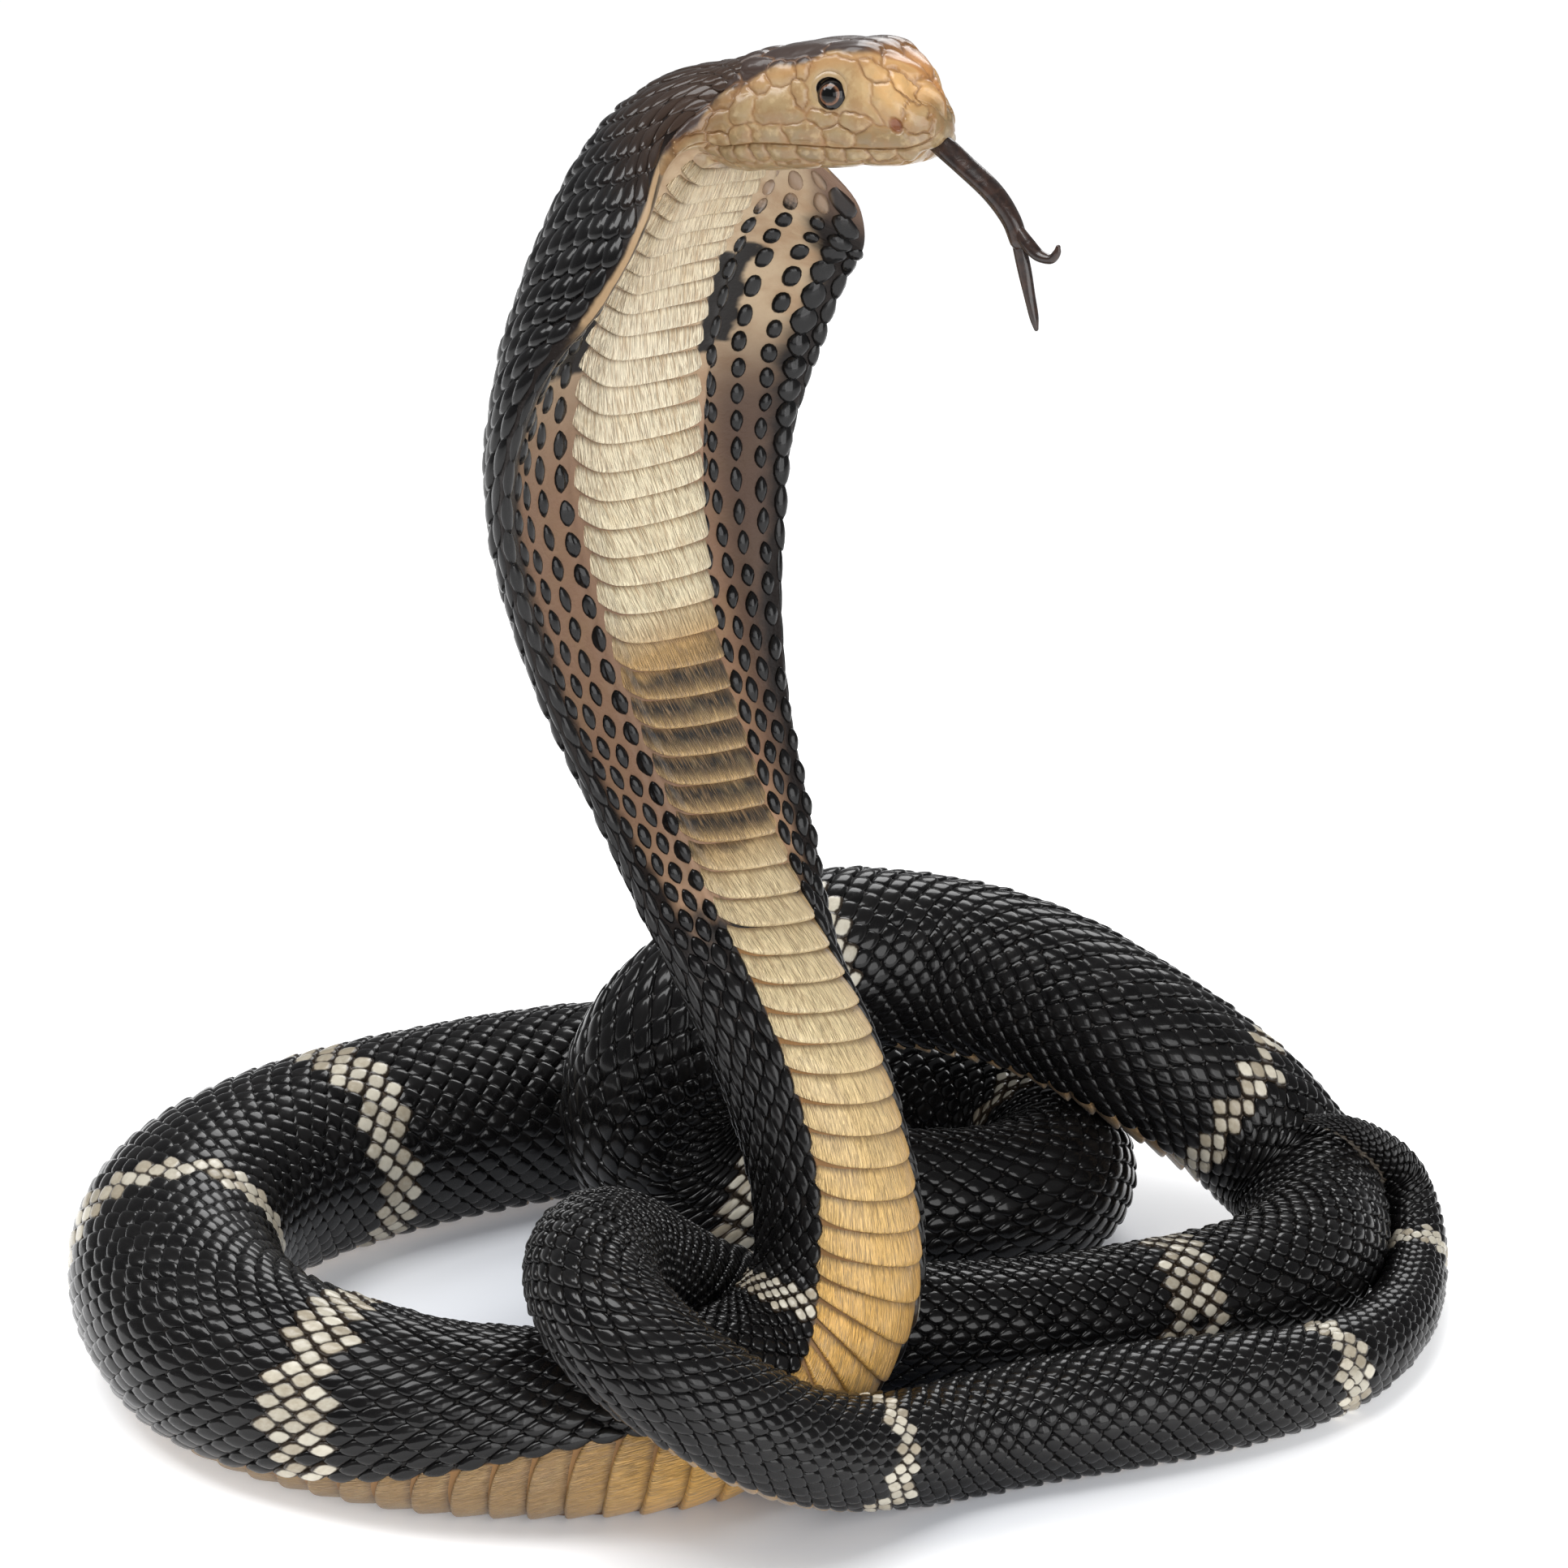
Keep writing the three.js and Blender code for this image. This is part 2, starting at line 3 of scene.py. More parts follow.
import bpy
import numpy as np
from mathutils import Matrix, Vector


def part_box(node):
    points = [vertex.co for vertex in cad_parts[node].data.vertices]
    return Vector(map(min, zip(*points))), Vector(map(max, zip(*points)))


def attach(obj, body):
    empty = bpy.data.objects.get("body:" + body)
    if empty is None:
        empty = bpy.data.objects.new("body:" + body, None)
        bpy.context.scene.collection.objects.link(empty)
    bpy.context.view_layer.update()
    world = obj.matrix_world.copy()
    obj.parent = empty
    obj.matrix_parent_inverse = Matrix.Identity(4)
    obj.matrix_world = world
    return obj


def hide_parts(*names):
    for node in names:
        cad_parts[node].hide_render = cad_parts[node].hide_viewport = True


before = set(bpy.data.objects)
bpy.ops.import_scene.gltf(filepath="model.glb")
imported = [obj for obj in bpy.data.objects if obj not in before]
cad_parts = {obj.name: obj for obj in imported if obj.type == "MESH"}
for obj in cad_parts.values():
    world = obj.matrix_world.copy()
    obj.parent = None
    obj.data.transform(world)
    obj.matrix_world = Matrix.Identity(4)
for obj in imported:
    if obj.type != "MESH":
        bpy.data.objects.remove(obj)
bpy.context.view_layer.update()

# The figure stands on a pale table top under five soft lights. Round the figure the table is painted
# with a shadow, and further out it glows.
# The camera looks down on it a little from in front, as the photograph was taken.
CAMERA = {"place": (0.0026, -0.9736, 0.4514), "down": 17, "view": 22}
FLOOR_REACH = 14
# The frame's origin in the millimetres of the body's route
ORIGIN = np.array([-2.6, 17.3, 1.0])


class Socket:
    """One output of a material's node, or a number, with the operators that sums of them use."""

    def __init__(self, tree, value):
        self.tree, self.value = tree, value

    def make(self, kind, inputs, output=0, stops=None, **settings):
        """A new node fed with inputs, as the socket that it gives."""
        node = self.tree.nodes.new(kind)
        for name, setting in settings.items():
            setattr(node, name, setting)
        if stops:
            ramp = node.color_ramp
            while len(ramp.elements) < len(stops):
                ramp.elements.new(0.5)
            for element, (place, color) in zip(ramp.elements, stops):
                element.position = place
                element.color = (*color, 1)
        for name, given in inputs.items():
            given = given.value if isinstance(given, Socket) else given
            if isinstance(given, bpy.types.NodeSocket):
                self.tree.links.new(given, node.inputs[name])
            else:
                node.inputs[name].default_value = given
        return Socket(self.tree, node.outputs[output])

    def sum(self, operation, *others):
        """This value and others, joined by an operation."""
        values = [self.value] + [o.value if isinstance(o, Socket) else o for o in others]
        return self.make("ShaderNodeMath", dict(enumerate(values)), operation=operation)

    def __add__(self, other):
        return self.sum("ADD", other)

    def __sub__(self, other):
        return self.sum("SUBTRACT", other)

    def __rsub__(self, other):
        return Socket(self.tree, other).sum("SUBTRACT", self)

    def __mul__(self, other):
        return self.sum("MULTIPLY", other)

    def __truediv__(self, other):
        return self.sum("DIVIDE", other)

    def __abs__(self):
        return self.sum("ABSOLUTE")

    __radd__ = __add__
    __rmul__ = __mul__

    def between(self, low, high):
        """How far this value is from low, 0, to high, 1, in a smooth step."""
        inputs = {"Value": self, "From Min": low, "From Max": high}
        return self.make("ShaderNodeMapRange", inputs, interpolation_type="SMOOTHSTEP")

    def blend(self, *colors):
        """A colour from the first to the second as this value goes from 0 to 1."""
        low, high = ((*c, 1) if isinstance(c, tuple) else c for c in colors)
        inputs = {"Factor": self, 6: low, 7: high}
        return self.make("ShaderNodeMix", inputs, output=2, data_type="RGBA")

    def painted(self, *coats):
        """This colour with coats of paint over it, each laid on through its own mask."""
        color = self
        for mask, paint in coats:
            color = mask.blend(color, paint)
        return color


class Paint(Socket):
    """A new painted finish: its nodes, and the shader that they feed."""

    def __init__(self, name, roughness, coat=0.0, coat_roughness=0.1, ior=1.5):
        self.material = bpy.data.materials.new(name)
        self.material.use_nodes = True
        self.shader = self.material.node_tree.nodes["Principled BSDF"]
        self.shader.inputs["Roughness"].default_value = roughness
        self.shader.inputs["Coat Weight"].default_value = coat
        self.shader.inputs["Coat Roughness"].default_value = coat_roughness
        self.shader.inputs["IOR"].default_value = ior
        super().__init__(self.material.node_tree, None)

    def read(self, attribute, output="Fac"):
        """A measure that the mesh carries at its corners."""
        return self.make("ShaderNodeAttribute", {}, output=output, attribute_name=attribute)

    def place(self):
        """The place on the piece, in metres."""
        return self.make("ShaderNodeTexCoord", {}, output="Object")

    def along(self):
        """The distance from the snout tip, in millimetres."""
        return self.read("distance") * 1000

    def noise(self, place, scale, detail, rough=0.5, twist=0.0):
        """Noise at a place, as fine as its scale to the metre."""
        inputs = {"Vector": place, "Scale": scale, "Detail": detail}
        inputs |= {"Roughness": rough, "Distortion": twist}
        return self.make("ShaderNodeTexNoise", inputs)

    def feed(self, distance=0.0, **links):
        """Joins values to the shader's sockets, and a height to a bump as deep as the distance."""
        if "height" in links:
            bump = {"Height": links.pop("height"), "Distance": distance, "Strength": 1.0}
            links["Normal"] = self.make("ShaderNodeBump", bump)
        for name, given in links.items():
            self.tree.links.new(given.value, self.shader.inputs[name.replace("_", " ")])
        return self.material


def mesh_piece(name, points, faces, uv=None, smooth=True, **attributes):
    """One mesh from arrays: points in the route's millimetres, and faces of 3 or 4 corners."""
    mesh = bpy.data.meshes.new(name)
    points = (np.asarray(points, float).reshape(-1, 3) - ORIGIN) / 1000
    size = faces.shape[1]
    mesh.vertices.add(len(points))
    mesh.vertices.foreach_set("co", points.astype(np.float32).ravel())
    mesh.loops.add(faces.size)
    mesh.loops.foreach_set("vertex_index", faces.astype(np.int32).ravel())
    mesh.polygons.add(len(faces))
    mesh.polygons.foreach_set("loop_start", np.arange(0, faces.size, size, dtype=np.int32))
    mesh.polygons.foreach_set("use_smooth", np.full(len(faces), smooth))
    if uv is not None:
        layer = mesh.uv_layers.new(name="OFBake")
        layer.data.foreach_set("uv", uv[faces.ravel()].astype(np.float32).ravel())
    for key, values in attributes.items():
        values = np.asarray(values, np.float32)
        if values.ndim == 1:
            mesh.attributes.new(key, "FLOAT", "POINT").data.foreach_set("value", values)
        else:
            vectors = mesh.attributes.new(key, "FLOAT_VECTOR", "POINT")
            vectors.data.foreach_set("vector", values.ravel())
    mesh.update(calc_edges=True)
    piece = bpy.data.objects.new(name, mesh)
    bpy.context.scene.collection.objects.link(piece)
    return piece


camera = bpy.data.objects.new("camera", bpy.data.cameras.new("camera"))
camera.data.angle = math.radians(CAMERA["view"])
camera.data.clip_start, camera.data.clip_end = 0.01, 60
camera.location = CAMERA["place"]
camera.rotation_euler = (math.radians(90 - CAMERA["down"]), 0, 0)
bpy.context.scene.collection.objects.link(camera)
bpy.context.scene.camera = camera

# Each light's place in metres, width and power
SOFT_LIGHTS = [
    ((-0.4, -0.3, 1.25), 0.7, 12),
    ((0.75, -1.3, 0.6), 1.1, 14),
    ((-0.9, -0.1, 1.0), 0.3, 2.0),
    ((0.1, -1.9, 0.8), 0.8, 3.5),
    ((0.3, 1.0, 1.1), 0.7, 9),
]
LIT_PLACE = (0, 0, 0.12)
for number, (place, size, power) in enumerate(SOFT_LIGHTS):
    lamp = bpy.data.objects.new(f"soft_light_{number}", bpy.data.lights.new("soft_light", "AREA"))
    lamp.data.energy, lamp.data.size = power, size
    lamp.location = place
    lamp.rotation_euler = (Vector(LIT_PLACE) - Vector(place)).to_track_quat("-Z", "Y").to_euler()
    bpy.context.scene.collection.objects.link(lamp)
world = bpy.data.worlds.new("studio")
bpy.context.scene.world = world
world.use_nodes = True
world.node_tree.nodes["Background"].inputs["Color"].default_value = (0.93, 0.94, 0.96, 1)
world.node_tree.nodes["Background"].inputs["Strength"].default_value = 0.22
bpy.context.scene.view_settings.view_transform = "Standard"

table_paint = Paint("pale_table", 0.75)
table_place = table_paint.place()
table_speck = table_paint.noise(table_place, 9.0, 3.0)
table_away = table_paint.make(
    "ShaderNodeVectorMath", {0: table_place}, output="Value", operation="LENGTH"
)
# The table glows, not at all near the figure and almost white far from it: a painted glow, which leaves
# the painted shadow round the figure.
painted_table_glow = table_away.between(0.05, 0.24).blend((0.0, 0.005, 0.02), (0.64, 0.64, 0.64))
painted_table_glow = table_away.between(0.7, 2.2).blend(painted_table_glow, (0.83, 0.83, 0.83))
# Within about 16 cm of the figure's middle the table is painted a darker bluish grey: a painted shadow
# under the figure.
table_tone_with_painted_shadow = table_away.between(0.08, 0.16).blend((0.64, 0.66, 0.69), (0.9, 0.9, 0.905))
table_paint.shader.inputs["Emission Strength"].default_value = 1.0
table_finish = table_paint.feed(
    Base_Color=(table_speck * 0.2).blend(table_tone_with_painted_shadow, (0.92, 0.92, 0.92)),
    Emission_Color=painted_table_glow,
)
table_corners = np.array([(-1, -1, 0), (1, -1, 0), (1, 1, 0), (-1, 1, 0)]) * FLOOR_REACH
table = mesh_piece("table_top", table_corners * 1000 + ORIGIN, np.array([[0, 1, 2, 3]]), smooth=False)
table.data.materials.append(table_finish)

# The body is one solid casting, so one shape runs from the snout to the tip of the tail.
# Its route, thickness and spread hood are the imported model's own, in millimetres: each point of the
# route has its place and radius, and where they matter the belly's direction and the hood's spread.
# A point without them has its belly below it, and no hood: half width, spread and curl.
DOWN = (0, 0, -1)
TUBE = (22, 0, 0)
ROUTE = {
    "head": [
        (35.4, -71.7, 336, 10),
        (24, -64, 334.5, 12),
        (12, -56, 333, 13),
        (0, -48, 331.5, 13, DOWN, (24, 0.1, 0)),
    ],
    "hood": [
        (-12, -40, 330, 11.5, (0.5, -0.45, -0.72), (42, 0.62, 0.36)),
        (-18, -37.7, 320.5, 14, (0.66, -0.48, -0.6), (53, 0.9, 0.52)),
        (-27, -33.7, 307.5, 16.5, (0.79, -0.54, -0.31), (51, 1, 0.52)),
        (-32.5, -30, 292, 18, (0.8, -0.55, -0.15), (53.5, 1, 0.42)),
        (-37, -28, 273, 18, (0.78, -0.6, -0.04), (54.5, 1, 0.33)),
        (-38.5, -26, 251, 18, (0.75, -0.66, 0.02), (52, 1, 0.24)),
        (-35.6, -25, 229, 18, (0.73, -0.67, 0.09), (47, 1, 0.18)),
    ],
    "neck": [
        (-32, -25, 207, 18, (0.71, -0.68, 0.15), (41.5, 1, 0.14)),
        (-26, -26, 185, 18.5, (0.69, -0.69, 0.2), (36.5, 0.97, 0.12)),
        (-19, -28, 164, 19, (0.68, -0.7, 0.24), (32.5, 0.92, 0.11)),
        (-11, -31, 143, 20, (0.67, -0.71, 0.27), (30.5, 0.83, 0.06)),
    ],
    "neck_base": [
        (-3, -35, 122, 21, (0.67, -0.72, 0.25), (27, 0.43, 0.02)),
        (4, -38, 103, 20.5, (0.67, -0.73, 0.18), (23, 0.12, 0)),
        (10, -41, 83, 19.5, (0.67, -0.74, 0.11)),
        (14, -43, 63, 20, (0.56, -0.83, -0.03)),
        (14, -46, 43, 21, (0.5, -0.83, -0.3)),
        (2, -53, 27, 21.5, (0.33, -0.83, -0.56)),
        (-16, -65, 21, 22.5, (0.07, -0.87, -0.5)),
    ],
    "front_left_length": [
        (-42, -76, 22.5, 22, (-0.02, -0.81, -0.64)),
        (-81, -75, 22.5, 22.5, (0, -0.39, -0.93)),
        (-110, -63, 24, 24),
    ],
    "left_bend": [(-138, -46, 25.5, 25.5), (-157, -7, 27, 27), (-161, 34, 27.5, 27.5)],
    "back_left_length": [(-141, 74, 27.5, 27.5), (-108, 100, 27.5, 27.5), (-64, 126, 27, 27)],
    "rear_length": [(-25, 135, 26.5, 26.5), (15, 131, 25, 25)],
    "rear_bend": [(51, 122, 24, 24), (74, 107, 22, 22), (79, 81, 21, 21), (62, 59, 21, 21)],
    "inner_bend": [
        (26, 57, 21.5, 21.5),
        (-3, 53, 21.5, 22, (0, 0.15, -1)),
        (-25.3, 55, 27, 22.2, (0.4, 0.75, -0.8)),
    ],
    "climbing_bend": [
        (-38.8, 56, 45, 22.6, (0.15, 1, 0.05)),
        (-34.5, 58, 66.5, 23.5, (0.2, 1, -0.2)),
        (-17, 64, 81.5, 23, (0.1, 0.75, -1)),
    ],
    "top_length": [
        (7, 82, 87, 24, (0, 0.05, -1)),
        (37, 96, 80, 24, (0, -0.35, -1)),
        (70, 92, 74.3, 23.5, (0, -0.3, -1)),
    ],
    "descending_bend": [
        (101, 82, 58, 22.5, (0, -0.35, -1)),
        (129.5, 83, 37.5, 21.5),
        (145, 75, 20, 19),
        (146, 42, 18.5, 18.5),
    ],
    "middle_length": [
        (128, 18, 17.5, 17.5), (103, 6, 17, 17), (60, -8, 16.5, 16.5), (18, -10, 16.5, 16.5),
    ],
    "small_loop_back": [
        (-6, -4, 17, 16), (-24, -13, 26, 16), (-37, -37, 47.5, 16), (-44, -63, 62.5, 15.5),
    ],
    "small_loop_front": [
        (-47, -89, 68.5, 15), (-40, -107, 61.5, 15), (-24, -112, 50, 14), (-6, -106, 35, 14),
        (12, -92, 22, 13.5),
    ],
    "front_length": [(32, -70, 13, 13.5), (58, -59, 14.5, 14.5), (87, -49, 15, 15)],
    "front_right_length": [(117, -37, 13.5, 13.5), (143, -19, 11, 11)],
    "tail": [(161.5, 11, 9.5, 9), (168.5, 38, 9, 8.5)],
    "tail_tip": [
        (173.5, 61, 12, 7.5), (171, 75.5, 25, 6.5), (160, 66, 38, 4.6), (150.5, 58.6, 46.6, 2.6),
        (139.5, 55, 49, 1),
    ],
}
# The floor's height, and how far over it the skin is laid flat
FLOOR, FLAT = 1.0, 1.1
# Where the head's outline goes over into the body's
HEAD_BLEND = (44, 62)
# Half an outline across the hood, and across the head: angle, then to the side and to the belly or up
HOOD_RING = [
    (0, 0, 0.17), (30, 0.33, 0.15), (50, 0.44, 0.06), (56, 0.48, 0.01), (76, 0.72, -0.02),
    (95, 0.94, 0), (106, 1, -0.05), (120, 0.92, -0.16), (148, 0.54, -0.34), (180, 0, -0.44),
]
HEAD_RING = [
    (0, 0, -1), (30, 0.45, -0.97), (50, 0.78, -0.76), (64, 0.93, -0.25), (72, 0.95, 0),
    (82, 0.98, 0.1), (100, 1, 0.33), (118, 0.94, 0.62), (136, 0.84, 0.86), (150, 0.62, 0.97),
    (165, 0.32, 1), (180, 0, 1),
]
# Distance, half width, and the heights of the crown, the mouth line and the chin
HEAD_PROFILE = [
    (0, 2, 1.2, -5.4, -6), (0.8, 3.6, 3, -6.4, -7), (2, 5.4, 4.3, -7.1, -7.7),
    (4, 7.3, 6, -7.5, -8.4), (6, 8.7, 8.2, -7.6, -10.6), (9, 9.9, 11.2, -7.4, -11),
    (14, 11.6, 14.9, -6.9, -11), (21, 13.2, 15.9, -6.3, -11), (30, 15.4, 16, -5.2, -11),
    (40, 17.4, 15.1, -4.5, -11), (48, 17.8, 13.8, -5.6, -11.6), (58, 17.5, 11.8, -8.5, -13.5),
]
# The temples, the sides of the snout and the cheeks
SWELLINGS = [(20, 134, 6, 9, 0.9), (11, 132, 5, 8, 0.5), (40, 98, 9, 16, 0.8)]
ROUTE_STEPS = 40


def smoothed(rows, x):
    """Later columns of a table at x, smooth through its rows."""
    rows = np.asarray(rows, float)
    x = np.asarray(x, float)
    i = np.clip(np.searchsorted(rows[:, 0], x, side="left") - 1, 0, len(rows) - 2)
    before, after = np.maximum(i - 1, 0), np.minimum(i + 2, len(rows) - 1)
    place, value = rows[:, 0], rows[:, 1:]
    span = place[i + 1] - place[i]
    t = np.clip((x - place[i]) / span, 0, 1)[..., None]
    slope_a = span[..., None] * (value[i + 1] - value[before])
    slope_a = slope_a / (place[i + 1] - place[before])[..., None]
    slope_b = span[..., None] * (value[after] - value[i]) / (place[after] - place[i])[..., None]
    turned = 3 * t**2 - 2 * t**3
    rise = t * (1 - t) * ((1 - t) * slope_a - t * slope_b)
    return value[i] + turned * (value[i + 1] - value[i]) + rise


def mirrored(ring):
    """A half ring with one more row at each end, so that it is smooth across the middle line."""
    first, last = ring[1], ring[-2]
    return [(-first[0], -first[1], first[2]), *ring, (360 - last[0], -last[1], last[2])]


def smoothstep(x, low, high):
    """A smooth step from 0 at low to 1 at high."""
    t = np.clip((np.asarray(x, float) - low) / (high - low), 0, 1)
    return t * t * (3 - 2 * t)


route_rows = np.array(
    [
        [*p[:4], *(p[5] if len(p) > 5 else TUBE), *(p[4] if len(p) > 4 else DOWN)]
        for points in ROUTE.values()
        for p in points
    ],
    float,
)
control = np.vstack(
    [2 * route_rows[0] - route_rows[1], route_rows, 2 * route_rows[-1] - route_rows[-2]]
)


def route_at(u, slope=False):
    """The route's rows at u points along it, or how fast they change."""
    i = np.minimum(np.floor(u).astype(int), len(route_rows) - 2)
    t = u - i
    if slope:
        weights = -((1 - t) ** 2), 3 * t * t - 4 * t, -3 * t * t + 2 * t + 1, t * t
        weights = [w / 2 for w in weights]
    else:
        weights = (1 - t) ** 3, 3 * t**3 - 6 * t * t + 4, -3 * t**3 + 3 * t * t + 3 * t + 1, t**3
        weights = [w / 6 for w in weights]
    return sum(w[..., None] * control[i + k] for k, w in enumerate(weights))


def arc_lengths(points):
    """Lengths along rows of points, from the first point of each row."""
    steps = np.linalg.norm(np.diff(points, axis=-2), axis=-1)
    return np.concatenate([np.zeros((*steps.shape[:-1], 1)), np.cumsum(steps, axis=-1)], axis=-1)


def unit(v):
    """The same directions with length 1."""
    return v / np.maximum(np.linalg.norm(v, axis=-1, keepdims=True), 1e-9)


def swell(s, turn, forms):
    """Height of swellings, each with its distance, angle, half length, half width and height."""
    return sum(
        lift * np.exp(-(((s - at) / reach) ** 2) - ((turn - centre) / wide) ** 2)
        for at, centre, reach, wide, lift in forms
    )


route_steps = np.arange((len(route_rows) - 1) * ROUTE_STEPS + 1) / ROUTE_STEPS
route_lengths = arc_lengths(route_at(route_steps)[:, :3])
BODY_LENGTH = route_lengths[-1]


def body_at(distance):
    """Middle, directions and sizes of the body at distances from the snout tip."""
    u = np.interp(distance, route_lengths, route_steps)
    row = route_at(u)
    along = unit(route_at(u, slope=True)[..., :3])
    under = row[..., 7:10]
    under = unit(under - (under * along).sum(-1, keepdims=True) * along)
    return row[..., :3], along, under, np.cross(along, under), row[..., 3:7]


def body_outline(angle, sizes):
    """The body's outline across it, to the side and to the belly: a round, or the spread hood."""
    radius, width, spread, curl = np.moveaxis(sizes, -1, 0)
    ring = smoothed(mirrored(HOOD_RING), np.abs(angle))
    side, under = np.sign(angle) * ring[..., 0], ring[..., 1]
    turn = np.radians(angle)
    return (
        (1 - spread) * radius * np.sin(turn) + spread * width * side,
        (1 - spread) * radius * np.cos(turn) + spread * width * (under + curl * side**2),
    )


def head_outline(angle, distance):
    """The head's outline across it, to the side and to the chin."""
    width, crown, mouth, chin = np.moveaxis(smoothed(HEAD_PROFILE, distance), -1, 0)
    ring = smoothed(mirrored(HEAD_RING), np.abs(angle))
    side, rise = np.sign(angle) * ring[..., 0], ring[..., 1]
    height = mouth + np.where(rise < 0, rise * (mouth - chin), rise * (crown - mouth))
    swelling = swell(distance, np.abs(angle), SWELLINGS)
    out_side, out_up = side * width, height - (crown + mouth) / 2
    size = np.maximum(np.hypot(out_side, out_up), 1e-6)
    return side * width + swelling * out_side / size, -height - swelling * out_up / size


def skin_point(distance, angle):
    """A point of the skin at a distance from the snout tip and an angle from the belly's middle."""
    distance, angle = np.broadcast_arrays(np.asarray(distance, float), np.asarray(angle, float))
    middle, along, under, side, sizes = body_at(distance)
    tube = body_outline(angle, sizes)
    head = head_outline(angle, distance)
    neck = smoothstep(distance, *HEAD_BLEND)
    a, b = (h + neck * (t - h) for h, t in zip(head, tube))
    return middle + side * a[..., None] + under * b[..., None]


def rested(points):
    """The same points, with what would be in the floor laid flat on it."""
    points = points.copy()
    low = points[..., 2] < FLOOR + FLAT
    points[..., 2] = np.where(low, FLOOR, points[..., 2])
    return points


def skin_normal(distance, angle):
    """The direction straight out of the skin."""
    step, turn = 0.25, 0.6
    along = skin_point(distance + step, angle) - skin_point(distance - step, angle)
    round_ = skin_point(distance, angle + turn) - skin_point(distance, angle - turn)
    return unit(np.cross(round_, along))


def grid_faces(rows, columns, closed=True, copies=1):
    """Four-cornered faces of one or more grids of points, row after row."""
    last = columns if closed else columns - 1
    r, c = np.meshgrid(np.arange(rows - 1), np.arange(last), indexing="ij")
    a, b = r * columns + c, r * columns + (c + 1) % columns
    faces = np.stack([a, b, b + columns, a + columns], -1).reshape(-1, 4)
    return repeated(faces, rows * columns, copies)


def repeated(faces, corners, copies):
    """The same faces for a number of copies of a piece's corners."""
    return (faces + np.arange(copies)[:, None, None] * corners).reshape(-1, faces.shape[1])


# The belly's plates and the rows of scales share one layout round the body: side 0 is the middle of
# the back and 1 or -1 the edge of the belly's plates, which wander a little along the raised part.
# Each row has a distance, and the middle and half width of the plates as angles.
BELLY_EDGE = [
    (44, 14, 34), (78, 15, 38), (117, 14, 38), (150, 6, 42), (182, -3, 49), (225, -8, 53),
    (270, -9, 54), (300, -3, 50), (335, 0, 48), (370, 5, 50), (410, 2, 54), (450, 0, 57),
    (500, 0, 54), (540, 0, 47), (600, 0, 34), (1000, 0, 30), (1080, 0, 17), (1170, 0, 19),
    (1240, 0, 29), (1300, 0, 24), (1400, 0, 30), (3000, 0, 30),
]
STATION = 2.0
SIDE_STEPS = 64
# Degrees under the belly for one more of side past its plates' edge
BELLY_SPAN = 90


def belly_edge(distance):
    """Middle and half width of the belly's plates, as angles."""
    rows = np.array(BELLY_EDGE)
    middle = np.interp(distance, rows[:, 0], rows[:, 1])
    return middle, np.interp(distance, rows[:, 0], rows[:, 2])


stations = np.arange(0, BODY_LENGTH + STATION, STATION)
stations[-1] = BODY_LENGTH
edge_middle, edge_half = belly_edge(stations)
side_shares = np.linspace(0, 1, SIDE_STEPS + 1)
# Of the near and the far side: its angles at equal steps along the skin, and its whole width
side_angles, side_arcs = [], []
for sign in (1, -1):
    edge = edge_half + sign * edge_middle
    angles = edge[:, None] + (180 - edge[:, None]) * side_shares
    arcs = arc_lengths(skin_point(stations[:, None], sign * angles))
    side_arcs.append(arcs[:, -1])
    shares = arcs / arcs[:, -1:]
    side_angles.append([np.interp(side_shares, s, a) for s, a in zip(shares, angles)])
side_angles, side_arcs = np.array(side_angles), np.array(side_arcs)


def at_station(distance):
    """The station before each distance, and the share of the way to the next one."""
    place = np.clip(distance / STATION, 0, len(stations) - 1.001)
    before = np.floor(place).astype(int)
    return before, place - before


def angle_at(distance, side):
    """Angle of a place between the belly's plates (side 1 or -1) and the middle of the back (0)."""
    distance, side = np.broadcast_arrays(np.asarray(distance, float), np.asarray(side, float))
    far = (side < 0).astype(int)
    share = 1 - np.abs(side)
    place = np.clip(share, 0, 0.9999) * SIDE_STEPS
    j = np.floor(place).astype(int)
    w = place - j
    i, t = at_station(distance)
    before, after = (
        side_angles[far, k, j] * (1 - w) + side_angles[far, k, j + 1] * w for k in (i, i + 1)
    )
    angle = before * (1 - t) + after * t + np.minimum(share, 0) * BELLY_SPAN
    return np.where(side < 0, -angle, angle)


def side_width(distance, side):
    """Length of the skin from the belly's plates to the middle of the back."""
    far = (side < 0).astype(int)
    i, t = at_station(distance)
    return side_arcs[far, i] * (1 - t) + side_arcs[far, i + 1] * t


def side_of(distance, angle):
    """The side, -1 to 1, of rings of points; beyond 1 on the belly."""
    sign, turn = np.where(angle < 0, -1, 1), np.abs(angle)
    middle, half = belly_edge(distance)
    edge = half + sign * middle
    found = np.zeros(angle.shape)
    for row, i in enumerate(at_station(distance[:, 0])[0]):
        near, far = (1 - np.interp(turn[row], table, side_shares) for table in side_angles[:, i])
        found[row] = np.where(sign[row] < 0, far, near)
    return sign * np.where(turn < edge, 1 + (edge - turn) / BELLY_SPAN, found)


# The narrow white bands are painted on the scales, from the hood's foot to the tail, and go round the
# whole body. Each has its distance from the snout tip and half its width.
WHITE_BANDS = [
    (363, 7.4), (495, 7.4), (587, 6.6), (677, 8.0), (783, 7.6), (889, 5.4), (1012, 5.2),
    (1114, 4.4), (1245, 4.6), (1366, 7), (1478, 4.4), (1683, 4.6), (1818, 4.4), (1900, 4.0),
]
# How far the bare skin lies inside the body's shape, under the scales and under the belly's plates
SUNK, BELLY_SUNK = 0.35, 0.95


def band_gap(distance, side):
    """How far places are outside the nearest white band, which wanders a little; negative inside."""
    shifted = distance + 1.3 * np.sin(3 * side + distance / 90) + 0.7 * np.sin(9 * side)
    bands = np.array(WHITE_BANDS)
    return np.min(np.abs(shifted[..., None] - bands[:, 0]) - bands[:, 1], axis=-1)


